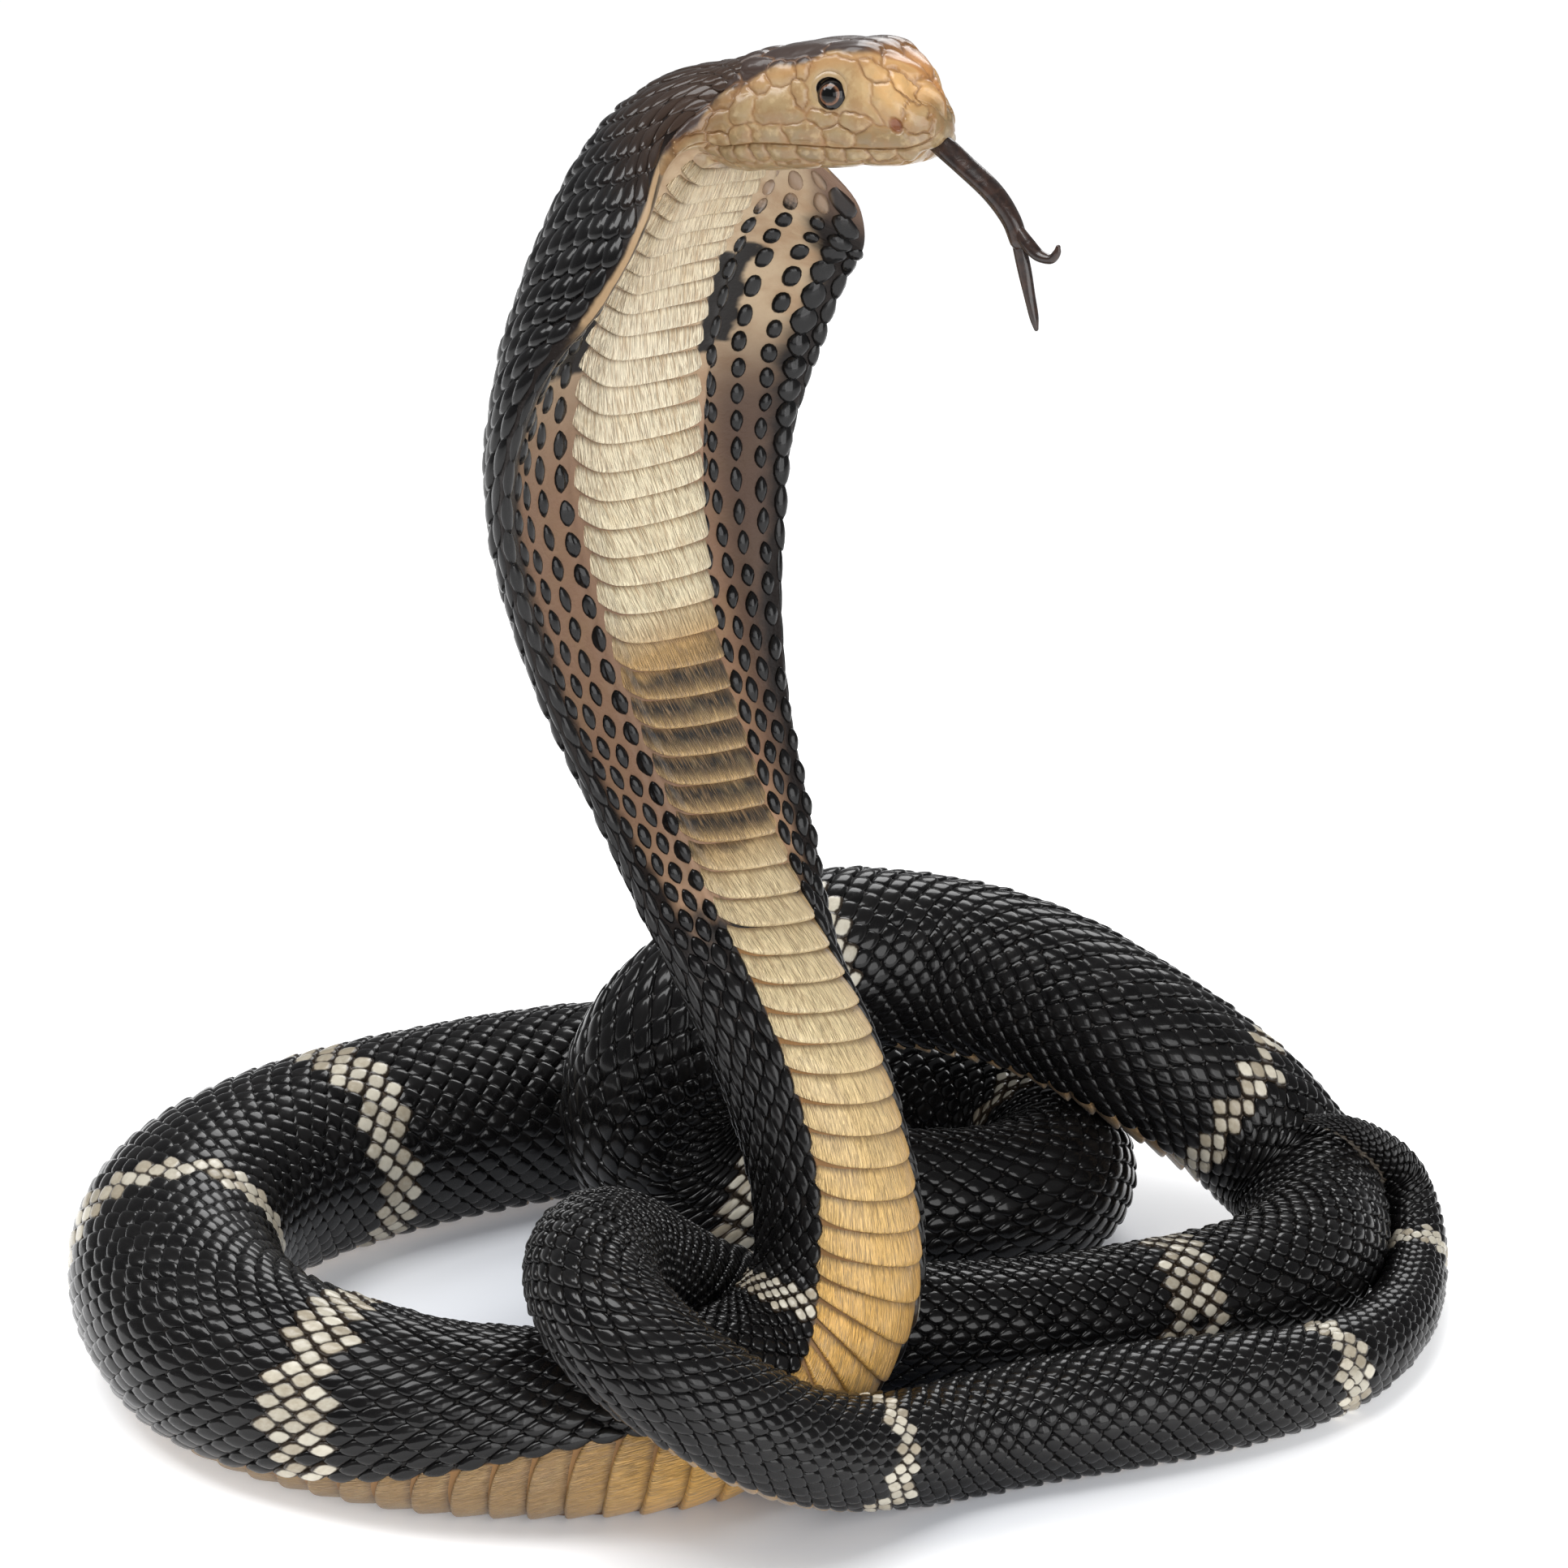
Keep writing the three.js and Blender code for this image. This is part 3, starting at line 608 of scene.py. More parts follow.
# The bare skin under the scales: dark where the scales stand close, cream to pinkish tan between the
# ovals on the flanks of the hood. It is cast in one with them and painted.
def skin_rings(name, rings, columns):
    """One length of skin, with the measures that its paint goes by."""
    angles = np.linspace(-180, 180, columns, endpoint=False)
    s, angle = np.meshgrid(rings, angles, indexing="ij")
    side = side_of(s, angle)
    middle, half = belly_edge(s)
    away = np.abs(angle - middle)
    belly = 1 - smoothstep(away, half - 2, half + 5)
    depth = SUNK + (BELLY_SUNK - SUNK) * belly
    normal = skin_normal(s, angle)
    points = rested(skin_point(s, angle) - normal * depth[..., None])
    uv = np.stack([(s - rings[0]) / (rings[-1] - rings[0]), angle / 360 + 0.5], -1).reshape(-1, 2)
    extra = dict(distance=s.ravel() / 1000, side=side.ravel(), turn=(angle / 100).ravel())
    extra["banded"] = (band_gap(s, side) < 0).astype(float).ravel()
    place = np.stack([s, side * 50, angle * 0.3], -1).reshape(-1, 3) / 1000
    return mesh_piece(name, points, grid_faces(len(rings), columns), uv, place=place, **extra)


raised_rings = np.arange(55, 312, 1.2)
raised_skin = skin_rings("skin_of_the_raised_part", raised_rings, 192)
coil_rings = np.linspace(raised_rings[-1], BODY_LENGTH - 0.2, 800)
coil_skin = skin_rings("skin_of_the_coils", coil_rings, 96)

flank_paint = Paint("flank_skin_paint", 0.42, coat=0.08, coat_roughness=0.2, ior=1.22)
place = flank_paint.read("place", "Vector")
along = flank_paint.along()
side = abs(flank_paint.read("side"))
turn = flank_paint.read("turn") * 100
patches = flank_paint.noise(place, 140, 3)
far_side = turn.between(5, -5)
outward = far_side * along.between(105, 140) * side.between(1.0, 0.82)
cream = along.between(110, 150).blend((0.38, 0.285, 0.185), (0.25, 0.145, 0.09)).painted(
    (along.between(225, 255), (0.46, 0.29, 0.18)),
    (patches.between(0.4, 0.7) * 0.7, (0.26, 0.16, 0.09)),
    ((1 - far_side) * along.between(105, 125) * 0.45, (0.1, 0.06, 0.04)),
    (outward * 0.85, (0.045, 0.028, 0.022)),
)
dark = (far_side * (1 - along.between(62, 78))).blend((0.01, 0.007, 0.006), (0.19, 0.12, 0.085))
widened = along.between(78, 100) * (1 - along.between(165, 205))
threshold = along.between(95, 130) * 0.045 + 0.745 + far_side * (0.055 - widened * 0.08)
threshold = threshold + along.between(215, 262) * 0.09
margin = (threshold - side - patches * 0.08).between(-0.035, 0.035)
covered = margin.sum("MAXIMUM", (along + patches * 20).between(260, 272))
spot = (patches * 7 + abs(along - 105)).between(18, 16.5)
spot = spot * (side + patches * 0.1).between(0.87, 0.89) * side.between(1.03, 1.0)
under_plates = side.between(1.0, 1.02) * along.between(262, 266)
ridge = abs(turn - 109 + patches * 5).between(4, 1.5) * (along + patches * 20).between(114, 98)
color = covered.blend(cream, dark).painted(
    (spot, (0.012, 0.01, 0.009)),
    (under_plates, (0.24, 0.125, 0.045)),
    (ridge * 0.85, (0.37, 0.25, 0.14)),
)
wrinkle = flank_paint.noise(place, 900, 4)
flank_finish = flank_paint.feed(Base_Color=color, height=wrinkle, distance=0.00025)
raised_skin.data.materials.append(flank_finish)

groove_paint = Paint("groove_paint", 0.5, coat=0.05, ior=1.3)
groove_grain = groove_paint.noise(groove_paint.read("place", "Vector"), 700, 3)
under_plates = abs(groove_paint.read("side")).between(0.99, 1.02)
ochre = groove_paint.along().between(560, 640)
groove_color = groove_grain.blend((0.004, 0.003, 0.003), (0.014, 0.011, 0.009)).painted(
    (groove_paint.read("banded") * 0.8, (0.09, 0.066, 0.045)),
    (under_plates, ochre.blend((0.24, 0.125, 0.045), (0.19, 0.165, 0.135))),
)
coil_skin.data.materials.append(groove_paint.feed(Base_Color=groove_color))
for piece, finish, nodes in [
    (raised_skin, "hood_resin", ["hood", "neck"]),
    (coil_skin, "coil_resin", [n for n in ROUTE if n not in ("head", "hood", "neck")]),
]:
    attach(piece, "root")
    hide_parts(*nodes)

# The head is cast with broad shields that meet in narrow grooves: cream on the lips and cheeks, and
# brown-black on the crown. The closed mouth is a fine line under the upper lip, and all is painted.
HEAD_END = 66
# Distances from the snout tip, and the angle of the mouth line and of the crown's edge there
MOUTH_LINE = [(0, 92), (1.2, 82), (3, 76), (6, 73), (12, 72), (52, 72), (66, 66)]
CROWN_EDGE = [
    (0, 178), (5, 166), (10, 146), (20, 138), (28, 134), (34, 130), (40, 125), (44, 119),
    (49, 112), (53, 106), (60, 106), (66, 110),
]
MOUTH_END = 52
# How far the closed tip stands out before the first ring, and how high a shield is domed
SNOUT_END, DOME = 0.35, 0.54
NOSTRIL = {"distance": 7.4, "angle": 98, "reach": 1.45}
EYE_PLACE = (21.5, 115)
# Each shield's distance, angle, half length and half height
CROWN_SHIELDS = [
    (2.2, 152, 2.4, 3), (8.5, 160, 4, 3.6), (16, 180, 6, 3.3), (17, 152, 6.6, 3.7),
    (31, 161, 8, 6), (42, 168, 4, 3), (43, 150, 3.6, 2.6), (40, 137, 3.4, 2.2),
    (48, 160, 3.4, 2.4), (50, 143, 3.2, 2.2), (48, 128, 3.2, 2.2), (54, 118, 3.2, 2),
]
CHEEK_SHIELDS = [
    (19.5, 114, 7.2, 5.6), (28, 127, 1.6, 2.4), (28.5, 112, 1.7, 3.2), (32.5, 126, 2.9, 2.4),
    (33, 105, 5, 3.8), (37.5, 118, 1.7, 2), (42, 106, 3.2, 3), (46.5, 112, 3.2, 2.2),
    (48.5, 96, 3.4, 2.6), (53, 105, 3, 2.4), (55, 92, 3.4, 2.4), (56.5, 79, 3.6, 2.8),
    (60, 100, 3, 2.4), (62.5, 86, 3.6, 2.6), (23, 97, 3, 1.9), (16.5, 95, 3, 2.3),
    (8.5, 83, 8, 2.1), (20, 84, 3.3, 2), (28.3, 84.5, 4.2, 2.1), (36.2, 82, 3.8, 2.3),
    (43.5, 80, 2.9, 2.2), (49.5, 80, 3, 2.2), (8.2, 117, 4, 4), (3.2, 110, 3, 3.6),
    (0.1, 102, 2, 4.2), (5.6, 138, 3.2, 3), (11.5, 131, 3, 2.2),
]
JAW_SHIELDS = [
    (3, 58, 4.6, 2.6), (11, 61, 3.2, 2.1), (16.9, 61, 2.6, 2.1), (22, 61, 2.5, 2.1),
    (27.5, 61, 2.9, 2.1), (34.2, 61, 3.6, 2.2), (39.6, 61, 1.8, 2.2), (43.6, 61, 2.2, 2.2),
    (48.4, 61, 2.6, 2.2), (54, 61, 3, 2.4), (60, 62, 3.2, 2.6), (12, 23, 6, 5), (26, 21, 7, 5),
    (12, 45, 5, 2.6), (22, 44, 5, 2.6), (32, 43, 5, 2.6), (42, 43, 5, 2.8), (40, 22, 6, 4.4),
    (52, 36, 5, 3.4), (53, 14, 6, 4), (62, 40, 4, 3), (64, 16, 5, 4),
]

head_rings = np.concatenate([np.arange(0.1, 4, 0.22), np.arange(4, HEAD_END, 0.36)])
half_turns = np.concatenate(
    [np.arange(0, 66, 1.1), np.arange(66, 79, 0.4), np.arange(79, 180, 0.85), [180.0]]
)
head_s, head_turn = np.meshgrid(head_rings, half_turns, indexing="ij")
arcs = arc_lengths(skin_point(head_s, head_turn))
mouth_turn = np.interp(head_rings, *zip(*MOUTH_LINE))


def arc_of(turn):
    """Arc from the chin's middle to an angle, for each ring."""
    turns = np.broadcast_to(turn, head_rings.shape)
    return np.array([np.interp(t, half_turns, a) for t, a in zip(turns, arcs)])


# Each place belongs to the nearest shield, in a slightly wandering measure of distance, and the
# grooves run where two shields are equally near. The closed mouth keeps lip and jaw apart.
upper = head_turn > mouth_turn[:, None]
closed = head_s < MOUTH_END
whole_turn = arcs[:, -1]
wobble_s = head_s + 0.3 * np.sin(0.9 * arcs + 0.31 * head_s)
wobble_s = wobble_s + 0.15 * np.sin(2.3 * arcs - 0.8 * head_s)
wobble_v = arcs + 0.3 * np.sin(0.8 * head_s + 0.4 * arcs) + 0.12 * np.sin(2.1 * head_s + 1.3 * arcs)
shields = [(*s, True) for s in CROWN_SHIELDS + CHEEK_SHIELDS] + [(*s, False) for s in JAW_SHIELDS]
nears, reaches, numbers = [], [], []
for number, (distance, turn, half_long, half_high, above) in enumerate(shields):
    middle_arc = arc_of(turn)
    places = [middle_arc]
    if 140 < turn < 180:
        places.append(2 * whole_turn - middle_arc)
    if turn < 40:
        places.append(-middle_arc)
    for place in places:
        away_s, away_v = wobble_s - distance, wobble_v - place[:, None]
        near = (np.abs(away_s / half_long) ** 3 + np.abs(away_v / half_high) ** 3) ** (1 / 3)
        reaches.append(np.maximum(np.hypot(away_s, away_v), 0.01) / np.maximum(near, 0.001))
        nears.append(near + 20 * (closed & (upper != above)))
        numbers.append(number)
nearest = np.argsort(nears, axis=0, kind="stable")[:2]
first_near, second_near = np.take_along_axis(np.array(nears), nearest, axis=0)
first_reach, second_reach = np.take_along_axis(np.array(reaches), nearest, axis=0)
shield_number = np.array(numbers)[nearest[0]]
gap = (second_near - first_near) / (1 / first_reach + 1 / second_reach)
mouth_gap = np.abs(arcs - arc_of(mouth_turn)[:, None])
groove = 1 - smoothstep(gap, 0.06, 0.42)
mouth_cut = (1 - smoothstep(mouth_gap, 0.05, 0.34)) * (1 - smoothstep(head_s, 49, 54))
rng = np.random.default_rng(3)
shield_lift = rng.uniform(-0.1, 0.16, len(shields))[shield_number]
shield_tint = rng.uniform(0, 1, len(shields))[shield_number]
edge_turn = np.interp(head_rings, *zip(*CROWN_EDGE))[:, None]
crown = smoothstep(head_turn + 2.5 * np.sin(0.5 * head_s), edge_turn - 6, edge_turn + 6)
fringe = smoothstep(head_turn, edge_turn - 26, edge_turn) * smoothstep(head_s, 30, 52)
brow = np.exp(-(((head_turn - edge_turn + 5) / 6) ** 2))
nostril_arc = arcs - arc_of(NOSTRIL["angle"])[:, None]
nostril_away = np.hypot(head_s - NOSTRIL["distance"], 0.8 * nostril_arc)
nostril = 1 - smoothstep(nostril_away, 0.65 * NOSTRIL["reach"], 1.15 * NOSTRIL["reach"])
lip = np.where(upper, 0.42 * np.exp(-(mouth_gap / 1.5)), -0.32 * np.exp(-(mouth_gap / 1.3)))
lip = lip * smoothstep(head_s, 1, 6) * (1 - smoothstep(head_s, 44, MOUTH_END))
dome = DOME * (1 - np.minimum(first_near, 1) ** 2.4) + shield_lift
flat = 1 - smoothstep(head_s, 55, HEAD_END)
raised = dome * (1 - groove) - 0.3 * groove - 0.35 * mouth_cut + lip
raised = raised * smoothstep(head_s, 0, 2) * (0.25 + 0.75 * flat) - 0.9 * nostril
eye_away = np.hypot(head_s - EYE_PLACE[0], arcs - arc_of(EYE_PLACE[1])[:, None])
snout_forms = {
    "ridge over the eye": (17, edge_turn + 2, 8, 5, 0.5),
    "lobe on the nose": (5.5, 172, 3, 20, 1.4),
    "crease beside it": (2, 140, 3.2, 18, -3.2),
    "side of the nose": (8.5, 112, 4.5, 13, 0.7),
    "hollow before the eye": (12, 129, 4, 5, -0.35),
}
raised = raised + swell(head_s, head_turn, snout_forms.values())
raised = raised * smoothstep(eye_away, 3.6, 4.8) + 0.1
raised = raised - 1.5 * (1 - smoothstep(eye_away, 3.2, 3.8))
nape = smoothstep(head_turn, edge_turn + 3, edge_turn + 9)
raised = raised - 0.9 * nape * smoothstep(head_s, 42, 48)
raised = raised - (1.4 - 0.9 * nape) * smoothstep(head_s, 54, HEAD_END)


def both_halves(values):
    """The values of one half of each ring, carried round the other half."""
    return np.concatenate([values[:, :0:-1][:, 1:], values], axis=1)


ring_turns = np.concatenate([-half_turns[:0:-1][1:], half_turns])
head_s, head_turn = np.meshgrid(head_rings, ring_turns, indexing="ij")
head_lift = both_halves(raised)
head_points = skin_point(head_s, head_turn) + skin_normal(head_s, head_turn) * head_lift[..., None]
first_middle, later_middle = (head_points[row].mean(axis=0) for row in (0, 3))
snout_tip = first_middle + unit(first_middle - later_middle) * SNOUT_END
head_corners = np.vstack([head_points.reshape(-1, 3), snout_tip])
head_faces = grid_faces(*head_s.shape)
column = np.arange(len(ring_turns))
tip_faces = np.stack([column * 0 + len(head_corners) - 1, np.roll(column, -1), column], -1)
split = np.concatenate([head_faces[:, :3], head_faces[:, [0, 2, 3]], tip_faces])
head_uv = np.stack([head_s / HEAD_END, head_turn / 362 + 0.5], -1).reshape(-1, 2)
head_uv = np.vstack([head_uv, [0, 0.5]])


def head_values(values):
    """A measure of half a head, for all its corners and the tip of the snout."""
    return np.append(both_halves(values).ravel(), values[0, 0])


head_skin = mesh_piece(
    "head_shields",
    head_corners,
    split,
    head_uv,
    groove=head_values(np.maximum(groove * 0.8, mouth_cut * 0.75)),
    wash=head_values(np.exp(-np.minimum(gap, mouth_gap + 0.3) / 0.7)),
    crown=head_values(crown),
    fringe=head_values(fringe),
    brow=head_values(brow),
    tint=head_values(shield_tint),
    nostril=head_values(nostril),
    snout=head_values(1 - smoothstep(np.broadcast_to(head_rings[:, None], groove.shape), 4, 19)),
    above=head_values(smoothstep(arcs - arc_of(mouth_turn)[:, None], 2, 15)),
    place=(head_corners - ORIGIN) / 1000,
)
head_paint = Paint("head_paint", 0.34, coat=0.3, coat_roughness=0.14, ior=1.4)
head_place = head_paint.read("place", "Vector")
mottle = head_paint.noise(head_place, 260, 4, 0.6)
brushed = head_paint.noise(head_place, 1500, 3)
blotched = head_paint.noise(head_place, 420, 3)
snout = head_paint.read("snout")
above = head_paint.read("above")
# The cream of the lips, cheeks and jaw is painted darker than the figure's paint, as painted shade from
# the light above. Below the mouth line it is darker still, partly the paint and partly painted shade
# under the head.
cream = head_paint.read("tint").blend((0.185, 0.128, 0.064), (0.26, 0.19, 0.1)).painted(
    (above, (0.32, 0.225, 0.115)),
    (mottle.between(0.42, 0.66) * 0.75, (0.215, 0.125, 0.055)),
    (blotched.between(0.5, 0.7) * 0.5, (0.42, 0.32, 0.18)),
    (snout * above * mottle.between(0.15, 0.55), (0.58, 0.345, 0.14)),
    (head_paint.read("brow") * 0.6, (0.34, 0.18, 0.07)),
    (head_paint.read("wash") * 0.4, (0.33, 0.17, 0.06)),
    (head_paint.read("fringe") * (mottle * 1.3 - 0.1), (0.085, 0.05, 0.028)),
)
dark = (mottle * 0.5 + snout).between(0.3, 1.15).blend((0.032, 0.017, 0.012), (0.38, 0.18, 0.06))
crown_mask = (head_paint.read("crown") + (mottle - 0.5) * 0.5).between(0.2, 0.8)
color = crown_mask.blend(cream, dark).painted(
    (head_paint.read("groove") * (mottle * 0.9 + 0.15), (0.19, 0.09, 0.035)),
    (head_paint.read("nostril") * 0.9, (0.19, 0.06, 0.024)),
)
head_rough = crown_mask * 0.16 + brushed * 0.1 + 0.28
head_finish = head_paint.feed(
    Base_Color=color, Roughness=head_rough, height=brushed, distance=0.00006
)
head_skin.data.materials.append(head_finish)
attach(head_skin, "root")
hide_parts("head", "lower_jaw")

# The eyes are glossy balls set deep in the head, each in a rolled lid: a black pupil in a dark iris
# with a thin pale ring, and black outside it. Both are painted resin, and the balls are lacquered.
LID_REACH = np.array([2.75, 2.88, 2.98, 3.15, 3.45, 3.85, 4.4, 4.9])
LID_RISE = np.array([-0.7, -0.1, 0.22, 0.42, 0.44, 0.3, 0.05, -0.25])
LID_STEPS = 72
BALL_RINGS, BALL_STEPS = 40, 64
EYE_RADIUS = 3.9
lid_turns = 2 * np.pi * np.arange(LID_STEPS) / LID_STEPS
ball_turns = (2 * np.pi * np.arange(BALL_STEPS) / BALL_STEPS)[:, None]
fall = np.radians(np.linspace(0, 100, BALL_RINGS))[:, None, None]
eye_s, eye_turn = EYE_PLACE
lid_parts, ball_parts = [], []
for node, sign in [("eye_right", 1), ("eye_left", -1)]:
    low, high = (np.array(corner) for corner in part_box(node))
    middle = (low + high) / 2 * 1000 + ORIGIN
    above, below = (skin_point(eye_s, sign * (eye_turn + turn)) for turn in (1, -1))
    per_degree = np.linalg.norm(above - below) / 2
    s = eye_s + LID_REACH[:, None] * np.cos(lid_turns)
    turn = sign * (eye_turn + 0.88 * LID_REACH[:, None] * np.sin(lid_turns) / per_degree)
    lid_parts.append(skin_point(s, turn) + skin_normal(s, turn) * LID_RISE[:, None, None])
    axis = skin_normal(eye_s, sign * eye_turn)
    side = unit(np.cross(axis, (0, 0, 1)))
    ring = np.cos(ball_turns) * side + np.sin(ball_turns) * np.cross(side, axis)
    ball_parts.append(middle + EYE_RADIUS * (np.cos(fall) * axis + np.sin(fall) * ring))
lids = mesh_piece(
    "eyelids",
    np.array(lid_parts),
    grid_faces(len(LID_REACH), LID_STEPS, copies=2),
    reach=np.tile(np.repeat(LID_REACH, LID_STEPS), 2),
)
lid_paint = Paint("lid_paint", 0.32, coat=0.4)
lid_grain = lid_paint.noise(lid_paint.place(), 700, 3)
lid_edge = (lid_paint.read("reach") + lid_grain * 0.12).between(3.14, 3.02)
lid_color = lid_grain.blend((0.26, 0.175, 0.085), (0.34, 0.24, 0.125))
lid_color = lid_edge.blend(lid_color, (0.012, 0.01, 0.01))
lids.data.materials.append(lid_paint.feed(Base_Color=lid_color))
balls = mesh_piece(
    "eyeballs",
    np.array(ball_parts),
    grid_faces(BALL_RINGS, BALL_STEPS, copies=2),
    away=np.tile(np.repeat(EYE_RADIUS * np.sin(fall), BALL_STEPS), 2),
)
eye_paint = Paint("eye_paint", 0.1, coat=0.12, coat_roughness=0.03, ior=1.38)
away = eye_paint.read("away")
iris_grain = eye_paint.noise(eye_paint.place(), 1800, 3)
iris = (away + iris_grain * 0.4).between(1.8, 2.35)
eye_color = iris.blend((0.01, 0.006, 0.005), (0.14, 0.065, 0.035)).painted(
    (away.between(2.25, 2.4), (0.005, 0.004, 0.004)),
    (away.between(1.6, 1.45), (0.002, 0.002, 0.002)),
)
balls.data.materials.append(eye_paint.feed(Base_Color=eye_color))
for piece, nodes in [(balls, ["eye_right", "eye_left"]), (lids, [])]:
    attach(piece, "root")
    if nodes:
        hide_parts(*nodes)

# The tongue is a thick dark strand set into the mouth, with a forked and curled end, cast in one and
# painted a glossy brown-black that lets a little reddish brown through on the ridges.
TONGUE_STRANDS = [
    [
        (33.3, -70, 329, 2.2), (35.8, -71.6, 327, 2.35), (39.4, -73.9, 323.8, 2.3),
        (45.5, -78, 318.5, 2.3), (49.4, -80.6, 313.3, 2.05), (51.3, -81.9, 308.6, 1.9),
    ],
    [
        (50.6, -81.6, 311.5, 1.3), (53, -84.1, 308.4, 1.45), (55.2, -85.9, 306.2, 1.3),
        (57.7, -87.6, 305.7, 1), (59, -88.4, 307.1, 0.85), (59.3, -88.7, 308.5, 0.5),
    ],
    [
        (50.6, -81.3, 310.8, 1.4), (52.4, -81.7, 302.8, 1.45), (53.6, -82.5, 296.8, 1.2),
        (54.6, -83.1, 292.3, 1), (55.2, -83.5, 289.6, 0.5),
    ],
]
STRAND_STEPS, STRAND_SIDES = 60, 28
STRAND_UNDER = np.array([0.55, 0.83, 0])
# The rounded end: each step's size against the last ring, and how far on it is in radii
STRAND_END = [(0.86, 0.45), (0.6, 0.78), (0.3, 0.95), (0.02, 1.0)]
turn = 2 * np.pi * np.arange(STRAND_SIDES) / STRAND_SIDES
strand_points = []
for strand in TONGUE_STRANDS:
    rows = np.array(strand)
    marks = np.arange(len(rows), dtype=float)[:, None]
    share = np.linspace(0, len(rows) - 1, STRAND_STEPS - len(STRAND_END))
    centre = smoothed(np.hstack([marks, rows]), share)
    middle, radius = centre[:, None, :3], centre[:, 3:]
    along = unit(np.gradient(centre[:, :3], axis=0))
    under = unit(STRAND_UNDER - along * (along @ STRAND_UNDER)[:, None])
    side = np.cross(along, under)
    ridged = 1 + 0.05 * np.cos(3 * turn + share[:, None] * 1.3)
    ring = np.cos(turn)[:, None] * under[:, None] + np.sin(turn)[:, None] * side[:, None]
    tube = middle + 1.07 * ring * (radius * ridged)[..., None]
    last = middle[-1]
    ends = [last + (tube[-1] - last) * size + along[-1] * radius[-1] * on for size, on in STRAND_END]
    strand_points.append(np.concatenate([tube, ends]))
tongue_faces = grid_faces(STRAND_STEPS, STRAND_SIDES, copies=len(TONGUE_STRANDS))
tongue = mesh_piece("forked_tongue", np.array(strand_points), tongue_faces)
tongue_paint = Paint("tongue_paint", 0.28, coat=0.42, coat_roughness=0.09, ior=1.36)
tongue_streak = tongue_paint.noise(tongue_paint.place(), 420, 4, 0.6, 0.6)
tongue_color = tongue_streak.between(0.3, 0.8).blend((0.013, 0.008, 0.007), (0.04, 0.021, 0.015))
tongue_finish = tongue_paint.feed(Base_Color=tongue_color, height=tongue_streak, distance=0.00015)
tongue.data.materials.append(tongue_finish)
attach(tongue, "root")
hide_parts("tongue")

# The belly's plates: broad, one behind the other, each with a raised bowed edge towards the tail and
# fine furrows along the body. They are cast in one with the skin, and painted cream under the hood
# and golden ochre towards the coils.
PLATE_ACROSS = 29
# Each step along a plate, as a share of its length, and its height
PLATE_STEPS = [
    (0, -0.6), (0.14, -0.1), (0.38, 0.42), (0.66, 0.86), (0.86, 1.15), (0.95, 1.2), (1, 0.95),
    (1.02, -0.2),
]
# Distances from the snout tip, and the plates' lengths and slant there
PLATE_PITCH = [(60, 4.6), (95, 5.6), (125, 7.3), (190, 7.6), (395, 7.3)]
PLATE_SLANT = [(80, 0), (130, 3.0), (200, 5.0), (250, 5.0), (330, 3.6), (400, 0)]
FIRST_PLATE, RAISED_END = 62.0, 395
# How far the plates are let into the body's shape, and how far they reach over their edge as an angle
PLATE_SINK, PLATE_OVER = 0.72, 1.5


def plate_pitch(distance):
    """Length of a plate on the raised part and on the coils."""
    radius = body_at(distance)[4][..., 0]
    raised = np.interp(distance, *zip(*PLATE_PITCH))
    return np.where(distance < RAISED_END, raised, np.clip(0.36 * radius, 3.4, 8.2))


def stops_along(start, end, pitch):
    """Distances from start past end, each one pitch after the last."""
    stops = [float(start)]
    while stops[-1] < end:
        stops.append(stops[-1] + float(pitch(np.array(stops[-1]))))
    return np.array(stops)


plate_starts = stops_along(FIRST_PLATE, BODY_LENGTH - 12, plate_pitch)
plate_lengths = np.diff(np.append(plate_starts, plate_starts[-1] + 4))
rng = np.random.default_rng(7)
jitter = rng.uniform(-1, 1, len(plate_starts))[:, None, None]
steps, rise = np.array(PLATE_STEPS).T[:, :, None]
first, length, y, x = np.broadcast_arrays(
    plate_starts[:, None, None],
    plate_lengths[:, None, None],
    steps,
    np.linspace(-1, 1, PLATE_ACROSS),
)
bow = 0.48 * length * (0.65 * x**2 + 0.35 * np.abs(x) ** 6)
slant = np.interp(first, *zip(*PLATE_SLANT)) * x
s = first + (y * 1.12 + 0.035 * jitter * x) * length - bow * (0.35 + 0.65 * y) - slant
middle, half = belly_edge(s)
angle = middle + x * (half + PLATE_OVER)
height = rise * (1 - 0.55 * np.abs(x) ** 4) - np.where(np.abs(x) > 0.985, 0.45, 0) - PLATE_SINK
thin = np.clip(body_at(s)[4][..., 0] / 15, 0.35, 1)
points = skin_point(s, angle) + skin_normal(s, angle) * (height * thin)[..., None]
points[..., 2] = np.maximum(points[..., 2], FLOOR)
plate_u = (first + np.minimum(y, 1) * 0.9 * length) / BODY_LENGTH
plates = mesh_piece(
    "belly_plates",
    points,
    grid_faces(len(PLATE_STEPS), PLATE_ACROSS, closed=False, copies=len(plate_starts)),
    np.stack([plate_u, 0.5 + 0.48 * x], -1).reshape(-1, 2),
    distance=s.ravel() / 1000,
    lay=np.stack([half * x * 0.45, y * length, first], -1).reshape(-1, 3) / 1000,
    edge=y.ravel(),
    across=x.ravel(),
)
plate_paint = Paint("belly_plate_paint", 0.34, coat=0.28, coat_roughness=0.16, ior=1.4)
lay = plate_paint.read("lay", "Vector")
along = plate_paint.along()
edge = plate_paint.read("edge")
across = plate_paint.read("across")
drawn_out = {0: lay, 1: (1.0, 0.07, 1.0)}
furrow_place = plate_paint.make("ShaderNodeVectorMath", drawn_out, operation="MULTIPLY")
furrows = plate_paint.noise(furrow_place, 2600, 2, 0.6, 0.3)
broad = plate_paint.noise(lay, 160, 3)
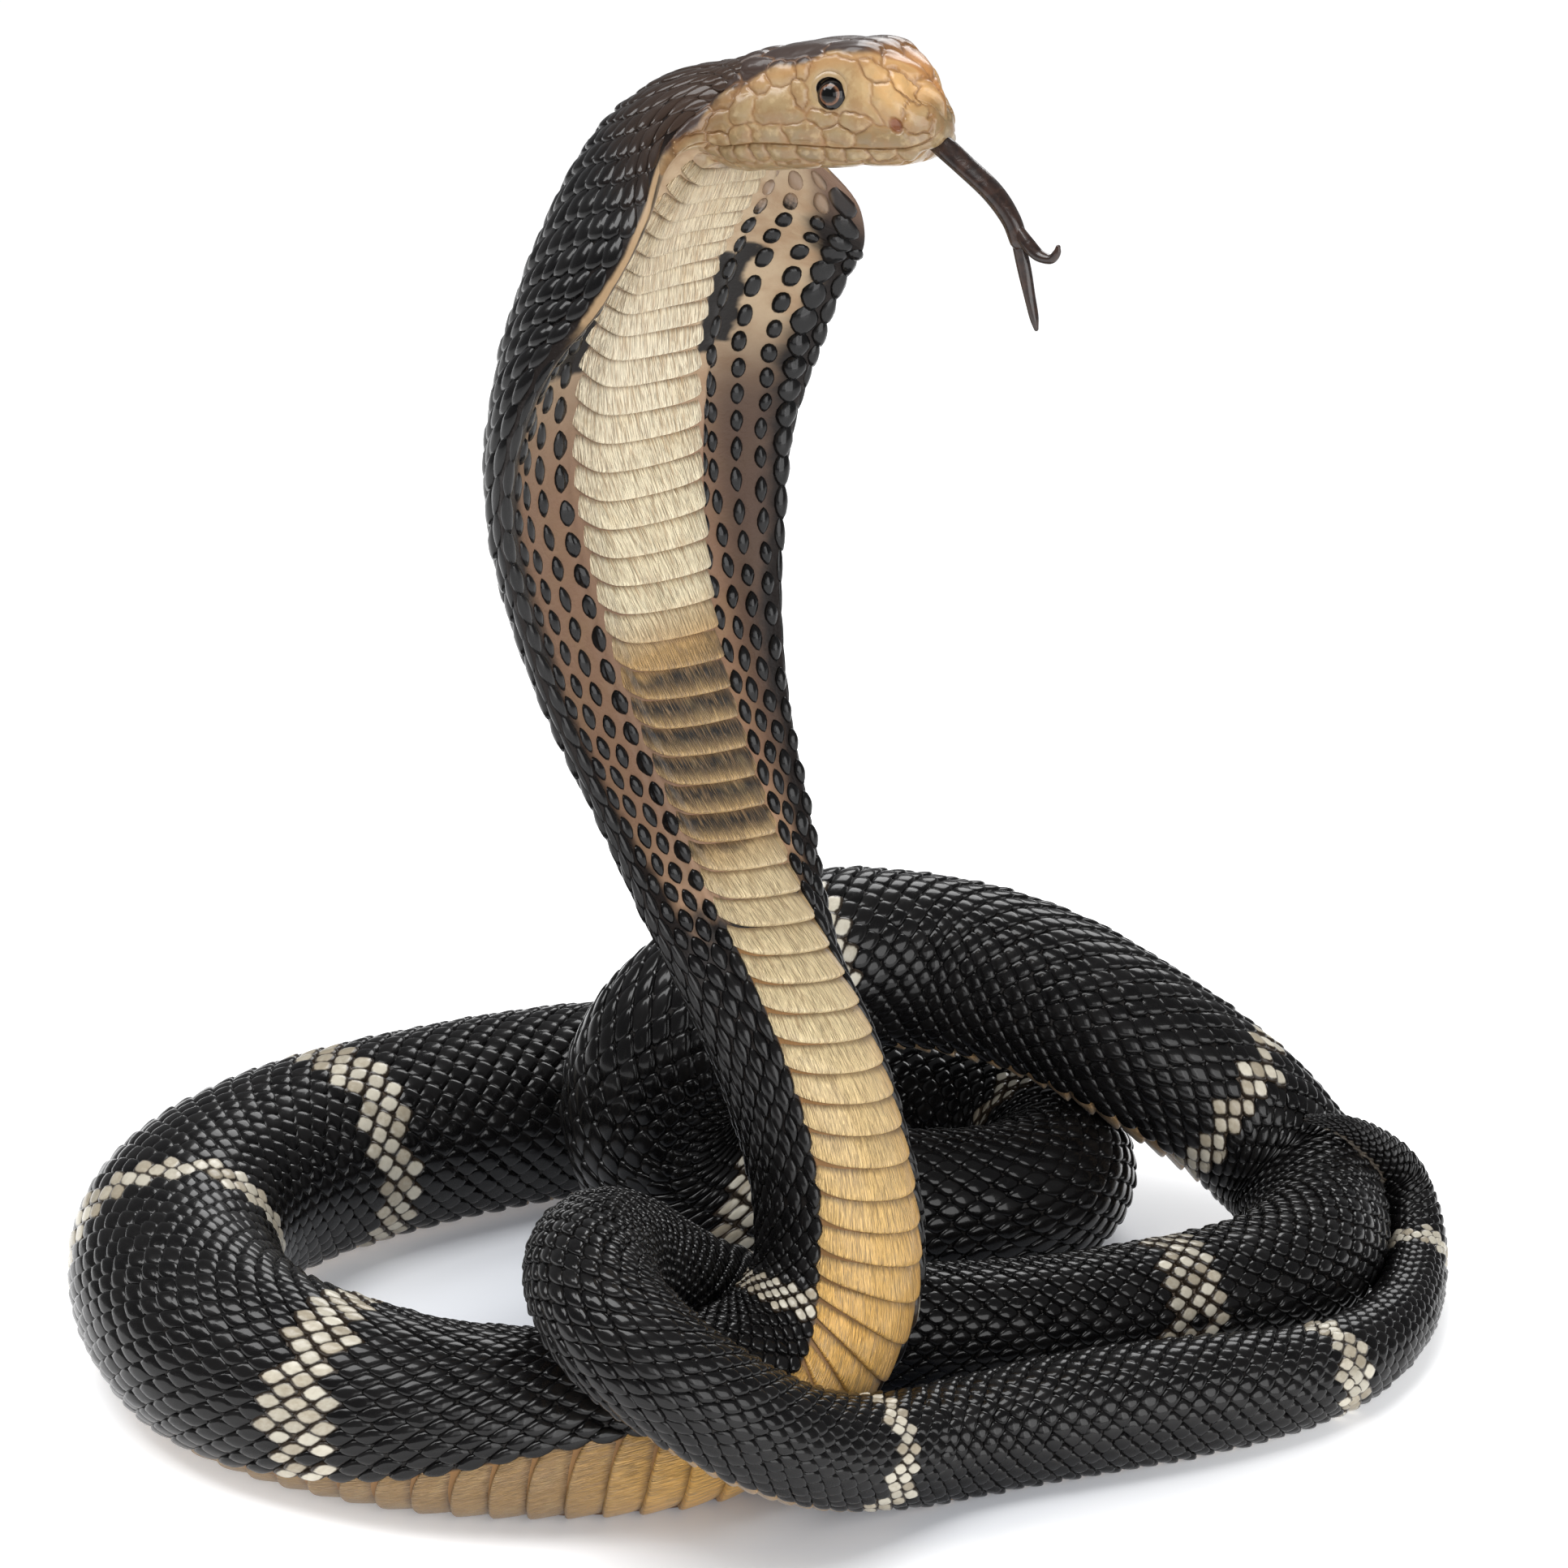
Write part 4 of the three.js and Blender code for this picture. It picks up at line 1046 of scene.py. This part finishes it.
# The plates go from cream under the hood to golden ochre on the coils. The bright golden tones of the
# lower belly are partly its paint and partly painted light, for plates that turn down away from the
# lamps.
tone = plate_paint.make(
    "ShaderNodeValToRGB",
    {"Fac": along / 1000},
    stops=[
        (0.06, (0.6, 0.48, 0.3)),
        (0.115, (0.8, 0.7, 0.51)),
        (0.18, (0.88, 0.76, 0.52)),
        (0.192, (0.56, 0.34, 0.13)),
        (0.215, (0.62, 0.41, 0.19)),
        (0.24, (0.66, 0.43, 0.19)),
        (0.252, (0.88, 0.7, 0.42)),
        (0.29, (0.95, 0.77, 0.46)),
        (0.33, (0.97, 0.65, 0.26)),
        (0.365, (0.97, 0.56, 0.155)),
        (0.41, (0.97, 0.55, 0.145)),
        (0.44, (0.35, 0.21, 0.08)),
        (0.54, (0.32, 0.2, 0.08)),
        (0.6, (0.44, 0.39, 0.33)),
    ],
)
golden = (across * -1).between(0.1, 1.0) * along.between(225, 290)
thrown = (broad - 0.5) * 16 + along
stain = thrown.between(191, 198) * (1 - thrown.between(238, 246))
# Each plate is painted brown where it starts under the edge of the plate before: partly a line in the
# joint and partly painted shade under that edge.
groove = (edge + furrows * 0.16).between(0.42, 0.16)
tone = tone.painted(
    (golden * 0.6, (0.72, 0.36, 0.06)),
    (stain * (edge + furrows * 1.1).between(1.7, 1.0), (0.02, 0.018, 0.017)),
    (groove * 0.8, (0.17, 0.095, 0.04)),
    # Darker in the fine furrows: painted shade in them.
    (furrows.between(0.52, 0.36) * 0.65, (0.38, 0.24, 0.12)),
    (broad.between(0.5, 0.75) * 0.3, (0.56, 0.4, 0.2)),
)
plate_finish = plate_paint.feed(Base_Color=tone, height=furrows, distance=0.002)
plates.data.materials.append(plate_finish)
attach(plates, "root")

# The scales, each a small raised lozenge leaning back over the next, in staggered rows round the
# body. On the hood's flanks they stand apart as ovals; on the coils they are packed and glossy black.
# They are cast in one with the skin and painted.
SCALE_RIM = 14
# How far the rim of a scale stands over the bare skin
SCALE_OUT = 0.04
# Distances from the snout tip, with the flank's row spacing and the scales' pitch there
FLANK_SPACING = [(60, 0.074), (120, 0.074), (190, 0.072), (260, 0.066), (300, 0.058), (335, 0.054)]
SCALE_PITCH = [(44, 4.2), (64, 5.6), (84, 7.6), (100, 8), (200, 8), (260, 7.6), (330, 6.8), (430, 6.6)]
# Rings round one scale: their share of its size, and their height on a flat and on a keeled one
SCALE_RINGS = [
    (0.0, 1.0, 1.3), (0.4, 0.96, 1.02), (0.66, 0.82, 0.76), (0.84, 0.56, 0.5), (0.95, 0.14, 0.2),
    (1.0, -0.35, -0.35),
]
# Rows on each flank of the hood that stand apart, and where they end
FLANK_ROWS, FLANK_END = 4, 335


def scale_pitch(distance):
    """Distance between the scales of one row along the body."""
    radius = body_at(distance)[4][..., 0]
    blend = smoothstep(distance, 400, 440)
    return (1 - blend) * np.interp(distance, *zip(*SCALE_PITCH)) + blend * (2.6 + 0.18 * radius)


def scale_places(start, end, rows_a_side):
    """Distances, sides, pitches and row spacings of a stretch's scales, and which are on a flank."""
    stops = stops_along(start, end, scale_pitch)
    pitch = np.append(np.diff(stops), stops[-1] - stops[-2])[:, None]
    rows = np.arange(rows_a_side + 1)
    s = stops[:, None] + pitch * 0.5 * (rows % 2)
    outer = np.where(s > FLANK_END, 1 / (rows_a_side + 0.5), np.interp(s, *zip(*FLANK_SPACING)))
    inner = (1 - FLANK_ROWS * outer) / (rows_a_side - FLANK_ROWS + 0.5)
    flank = rows < FLANK_ROWS
    inner_side = 1 - FLANK_ROWS * outer - (rows - FLANK_ROWS + 0.5) * inner
    side = np.where(flank, 1 - (rows + 0.5) * outer, inner_side)
    side = np.where(rows == rows_a_side, 0.0, side)
    near_and_far = []
    for sign, last in [(1, None), (-1, -1)]:
        measures = np.broadcast_arrays(s, sign * side, pitch, np.where(flank, outer, inner), flank)
        near_and_far.append([m[:, :last].ravel() for m in measures])
    return [np.concatenate(pair) for pair in zip(*near_and_far)]


# One scale's corners, its middle first and then ring after ring, and the faces between them
rim_turns = 2 * np.pi * np.arange(SCALE_RIM) / SCALE_RIM
ring_of = np.concatenate([[0], np.repeat(np.arange(1, len(SCALE_RINGS)), SCALE_RIM)])
out_share, flat_top, keeled_top = np.array(SCALE_RINGS)[ring_of].T
corner_turns = np.append(0.0, np.tile(rim_turns, len(SCALE_RINGS) - 1))
corner_long, corner_wide = out_share * np.cos(corner_turns), out_share * np.sin(corner_turns)
corner_reach = np.maximum(np.hypot(corner_long, corner_wide), 1e-9)
CORNERS = len(ring_of)
ring = 1 + np.arange(SCALE_RIM)
after = np.roll(ring, -1)
scale_faces = [np.stack([0 * ring, ring, after], -1)]
for inside in np.arange(len(SCALE_RINGS) - 2) * SCALE_RIM:
    outside = inside + SCALE_RIM
    scale_faces.append(np.stack([inside + ring, outside + ring, outside + after], -1))
    scale_faces.append(np.stack([inside + ring, outside + after, inside + after], -1))
scale_faces = np.concatenate(scale_faces)


def scale_piece(name, start, end, rows_a_side, seed, finish):
    """The scales of one stretch, one mesh, each scale with its own size, height, lean and tone."""
    places = scale_places(start, end, rows_a_side)
    s, side = places[:2]
    turn = angle_at(s, side)
    keep = (s > start - 1) & (s < end + 1) & (s < BODY_LENGTH - 1)
    # None over the head's shields, and none on the pale ridge along the near edge of the hood
    keep &= (s > 64) | (np.abs(turn) > np.interp(s, *zip(*CROWN_EDGE)) + 9)
    keep &= (s > 104) | (np.abs(turn - 107) > 4)
    keep &= (s > 90) | (turn < 0) | (np.abs(turn) > 107)
    keep &= (s > 84) | (turn > 0) | (np.abs(np.abs(turn) - 102) > 11)
    s, side, pitch, spacing, flank, turn = (m[keep] for m in (*places, turn))
    count = len(s)
    rng = np.random.default_rng(seed)
    width = side_width(s, side)
    # Ovals that stand apart on the flanks, narrow streaks on the hood's back, and its folded edge
    apart = flank * (1 - smoothstep(s, 255, 285))
    streaky = (1 - apart) * (1 - smoothstep(s, 270, 360)) * smoothstep(s, 60, 90)
    rim_of_hood = np.exp(-(((np.abs(turn) - 106) / 7) ** 2)) * (1 - smoothstep(s, 200, 260))
    packed_half = (0.94 - 0.3 * streaky) * spacing * width * (1 - 0.56 * rim_of_hood)
    oval_half = np.minimum(2.3 - 0.4 * smoothstep(s, 100, 150), packed_half)
    half_width = (apart * oval_half + (1 - apart) * packed_half) * rng.uniform(0.9, 1.06, count)
    half_length = apart * (0.41 + 0.02 * smoothstep(s, 105, 140)) + (1 - apart) * 0.54
    half_length = (half_length + streaky * 0.1) * pitch * rng.uniform(0.92, 1.06, count)
    power = apart * (2.3 - 0.8 * smoothstep(s, 105, 150)) + (1 - apart) * 1.38 + streaky * 0.1
    keel = np.clip(apart * smoothstep(s, 90, 150) + streaky * 0.8, 0, 1)
    tall = np.clip(0.34 * np.minimum(half_length, half_width) + 0.2, 0.3, 1.05)
    tall = tall * rng.uniform(0.8, 1.15, count) * (1 + 0.2 * keel)
    tall = tall * (0.55 + 0.45 * smoothstep(s, 44, 76)) * (1 - 0.55 * rim_of_hood)
    s = s + rng.uniform(-0.03, 0.03, count) * pitch
    side = side + rng.uniform(-0.05, 0.05, count) * spacing
    lean = (1 - apart) * rng.uniform(0.34, 0.5, count) * (1 - 0.6 * rim_of_hood)
    yaw = rng.uniform(-0.1, 0.1, count)
    white = (band_gap(s, side) + rng.uniform(-1.2, 1.2, count) < 0).astype(float)
    white = white * (rng.uniform(0, 1, count) > 0.03) * rng.uniform(0.75, 1, count)
    tone = rng.uniform(0, 1, count)

    s, side, pitch, spacing, width, half_length, half_width, power, keel, tall, lean, yaw = (
        m[:, None]
        for m in (s, side, pitch, spacing, width, half_length, half_width, power, keel, tall, lean, yaw)
    )
    shape = np.abs(corner_long / corner_reach) ** power + np.abs(corner_wide / corner_reach) ** power
    shape = (shape + 1e-9) ** (-1 / power)
    local_long, local_wide = corner_long * shape, corner_wide * shape
    long_part, wide_part = local_long * half_length, local_wide * half_width
    at_s = s + long_part - yaw * wide_part
    at_side = side + (wide_part + yaw * long_part) / width
    angle = angle_at(at_s, at_side)
    on_edge = out_share >= 0.99
    tilt = np.where(on_edge, 0.35 * (lean > 0), 1.6 * lean) * local_long
    up = tall * (flat_top + keel * (keeled_top - flat_top) + tilt)
    points = skin_point(at_s, angle) + skin_normal(at_s, angle) * (up - SUNK + SCALE_OUT)[..., None]
    points[..., 2] = np.maximum(points[..., 2], FLOOR)
    patch_u = s + local_long * 0.36 * pitch - start + pitch.max()
    patch_u = patch_u / (end - start + 2 * pitch.max())
    patch_v = 0.5 + 0.48 * (side + local_wide * 0.72 * spacing)
    shade = np.broadcast_to(tone[:, None], local_long.shape)
    grain = np.stack([local_long * 2 + shade * 40, local_wide * 2, shade * 9], -1)
    piece = mesh_piece(
        name,
        points,
        repeated(scale_faces, CORNERS, count),
        np.stack([patch_u, patch_v], -1).reshape(-1, 2),
        distance=at_s.ravel() / 1000,
        side=at_side.ravel(),
        white=np.repeat(white, CORNERS),
        tone=np.repeat(tone, CORNERS),
        rim=np.tile(out_share, count),
        grain=grain.reshape(-1, 3) / 10,
    )
    piece.data.materials.append(finish)
    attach(piece, "root")


scale_paint = Paint("scale_paint", 0.26, coat=0.38, coat_roughness=0.1, ior=1.2)
grain = scale_paint.read("grain", "Vector")
tone = scale_paint.read("tone")
rim = scale_paint.read("rim")
white = scale_paint.read("white")
streaks = scale_paint.noise(grain, 14, 3)
along = scale_paint.along()
nape = (along + streaks * 16).between(84, 58) * (streaks * 0.5 + 0.4)
pale = (along + streaks * 5).between(79, 73) * abs(scale_paint.read("side")).between(0.7, 0.74)
black = tone.blend((0.003, 0.0028, 0.003), (0.007, 0.0065, 0.0065)).painted(
    (streaks.between(0.55, 0.8) * 0.3, (0.018, 0.016, 0.015)),
    (nape, (0.062, 0.038, 0.027)),
    (pale, (0.24, 0.165, 0.11)),
)
ivory = (streaks * 0.6 + tone * 0.6).between(0.25, 0.95)
ivory = ivory.blend((0.62, 0.58, 0.48), (0.36, 0.31, 0.23))
ivory = (rim + streaks * 0.2).between(0.64, 0.84).blend(ivory, (0.03, 0.021, 0.014))
scale_finish = scale_paint.feed(
    Base_Color=white.blend(black, ivory),
    Roughness=tone * 0.08 + streaks * 0.14 + 0.17,
    height=streaks,
    distance=0.00006,
)

SCALE_STRETCHES = [
    ("scales_of_the_hood", 44, 200, 18, "hood_resin"),
    ("scales_of_the_neck", 200, 330, 18, "hood_resin"),
    ("scales_of_the_neck_base", 330, 560, 18, "coil_resin"),
    ("scales_of_the_left_coil", 560, 800, 18, "coil_resin"),
    ("scales_of_the_rear_coil", 800, 1040, 17, "coil_resin"),
    ("scales_of_the_climbing_coil", 1040, 1250, 18, "coil_resin"),
    ("scales_of_the_right_coil", 1250, 1475, 16, "coil_resin"),
    ("scales_of_the_small_loop", 1475, 1700, 15, "coil_resin"),
    ("scales_of_the_front_coil", 1700, 1818, 12, "coil_resin"),
    ("scales_of_the_tail_base", 1818, 1900, 9, "coil_resin"),
    ("scales_of_the_tail", 1900, 1970, 7, "coil_resin"),
]
for number, (name, start, end, rows_a_side, slot) in enumerate(SCALE_STRETCHES):
    scale_piece(name, start, end, rows_a_side, 20 + number, scale_finish)
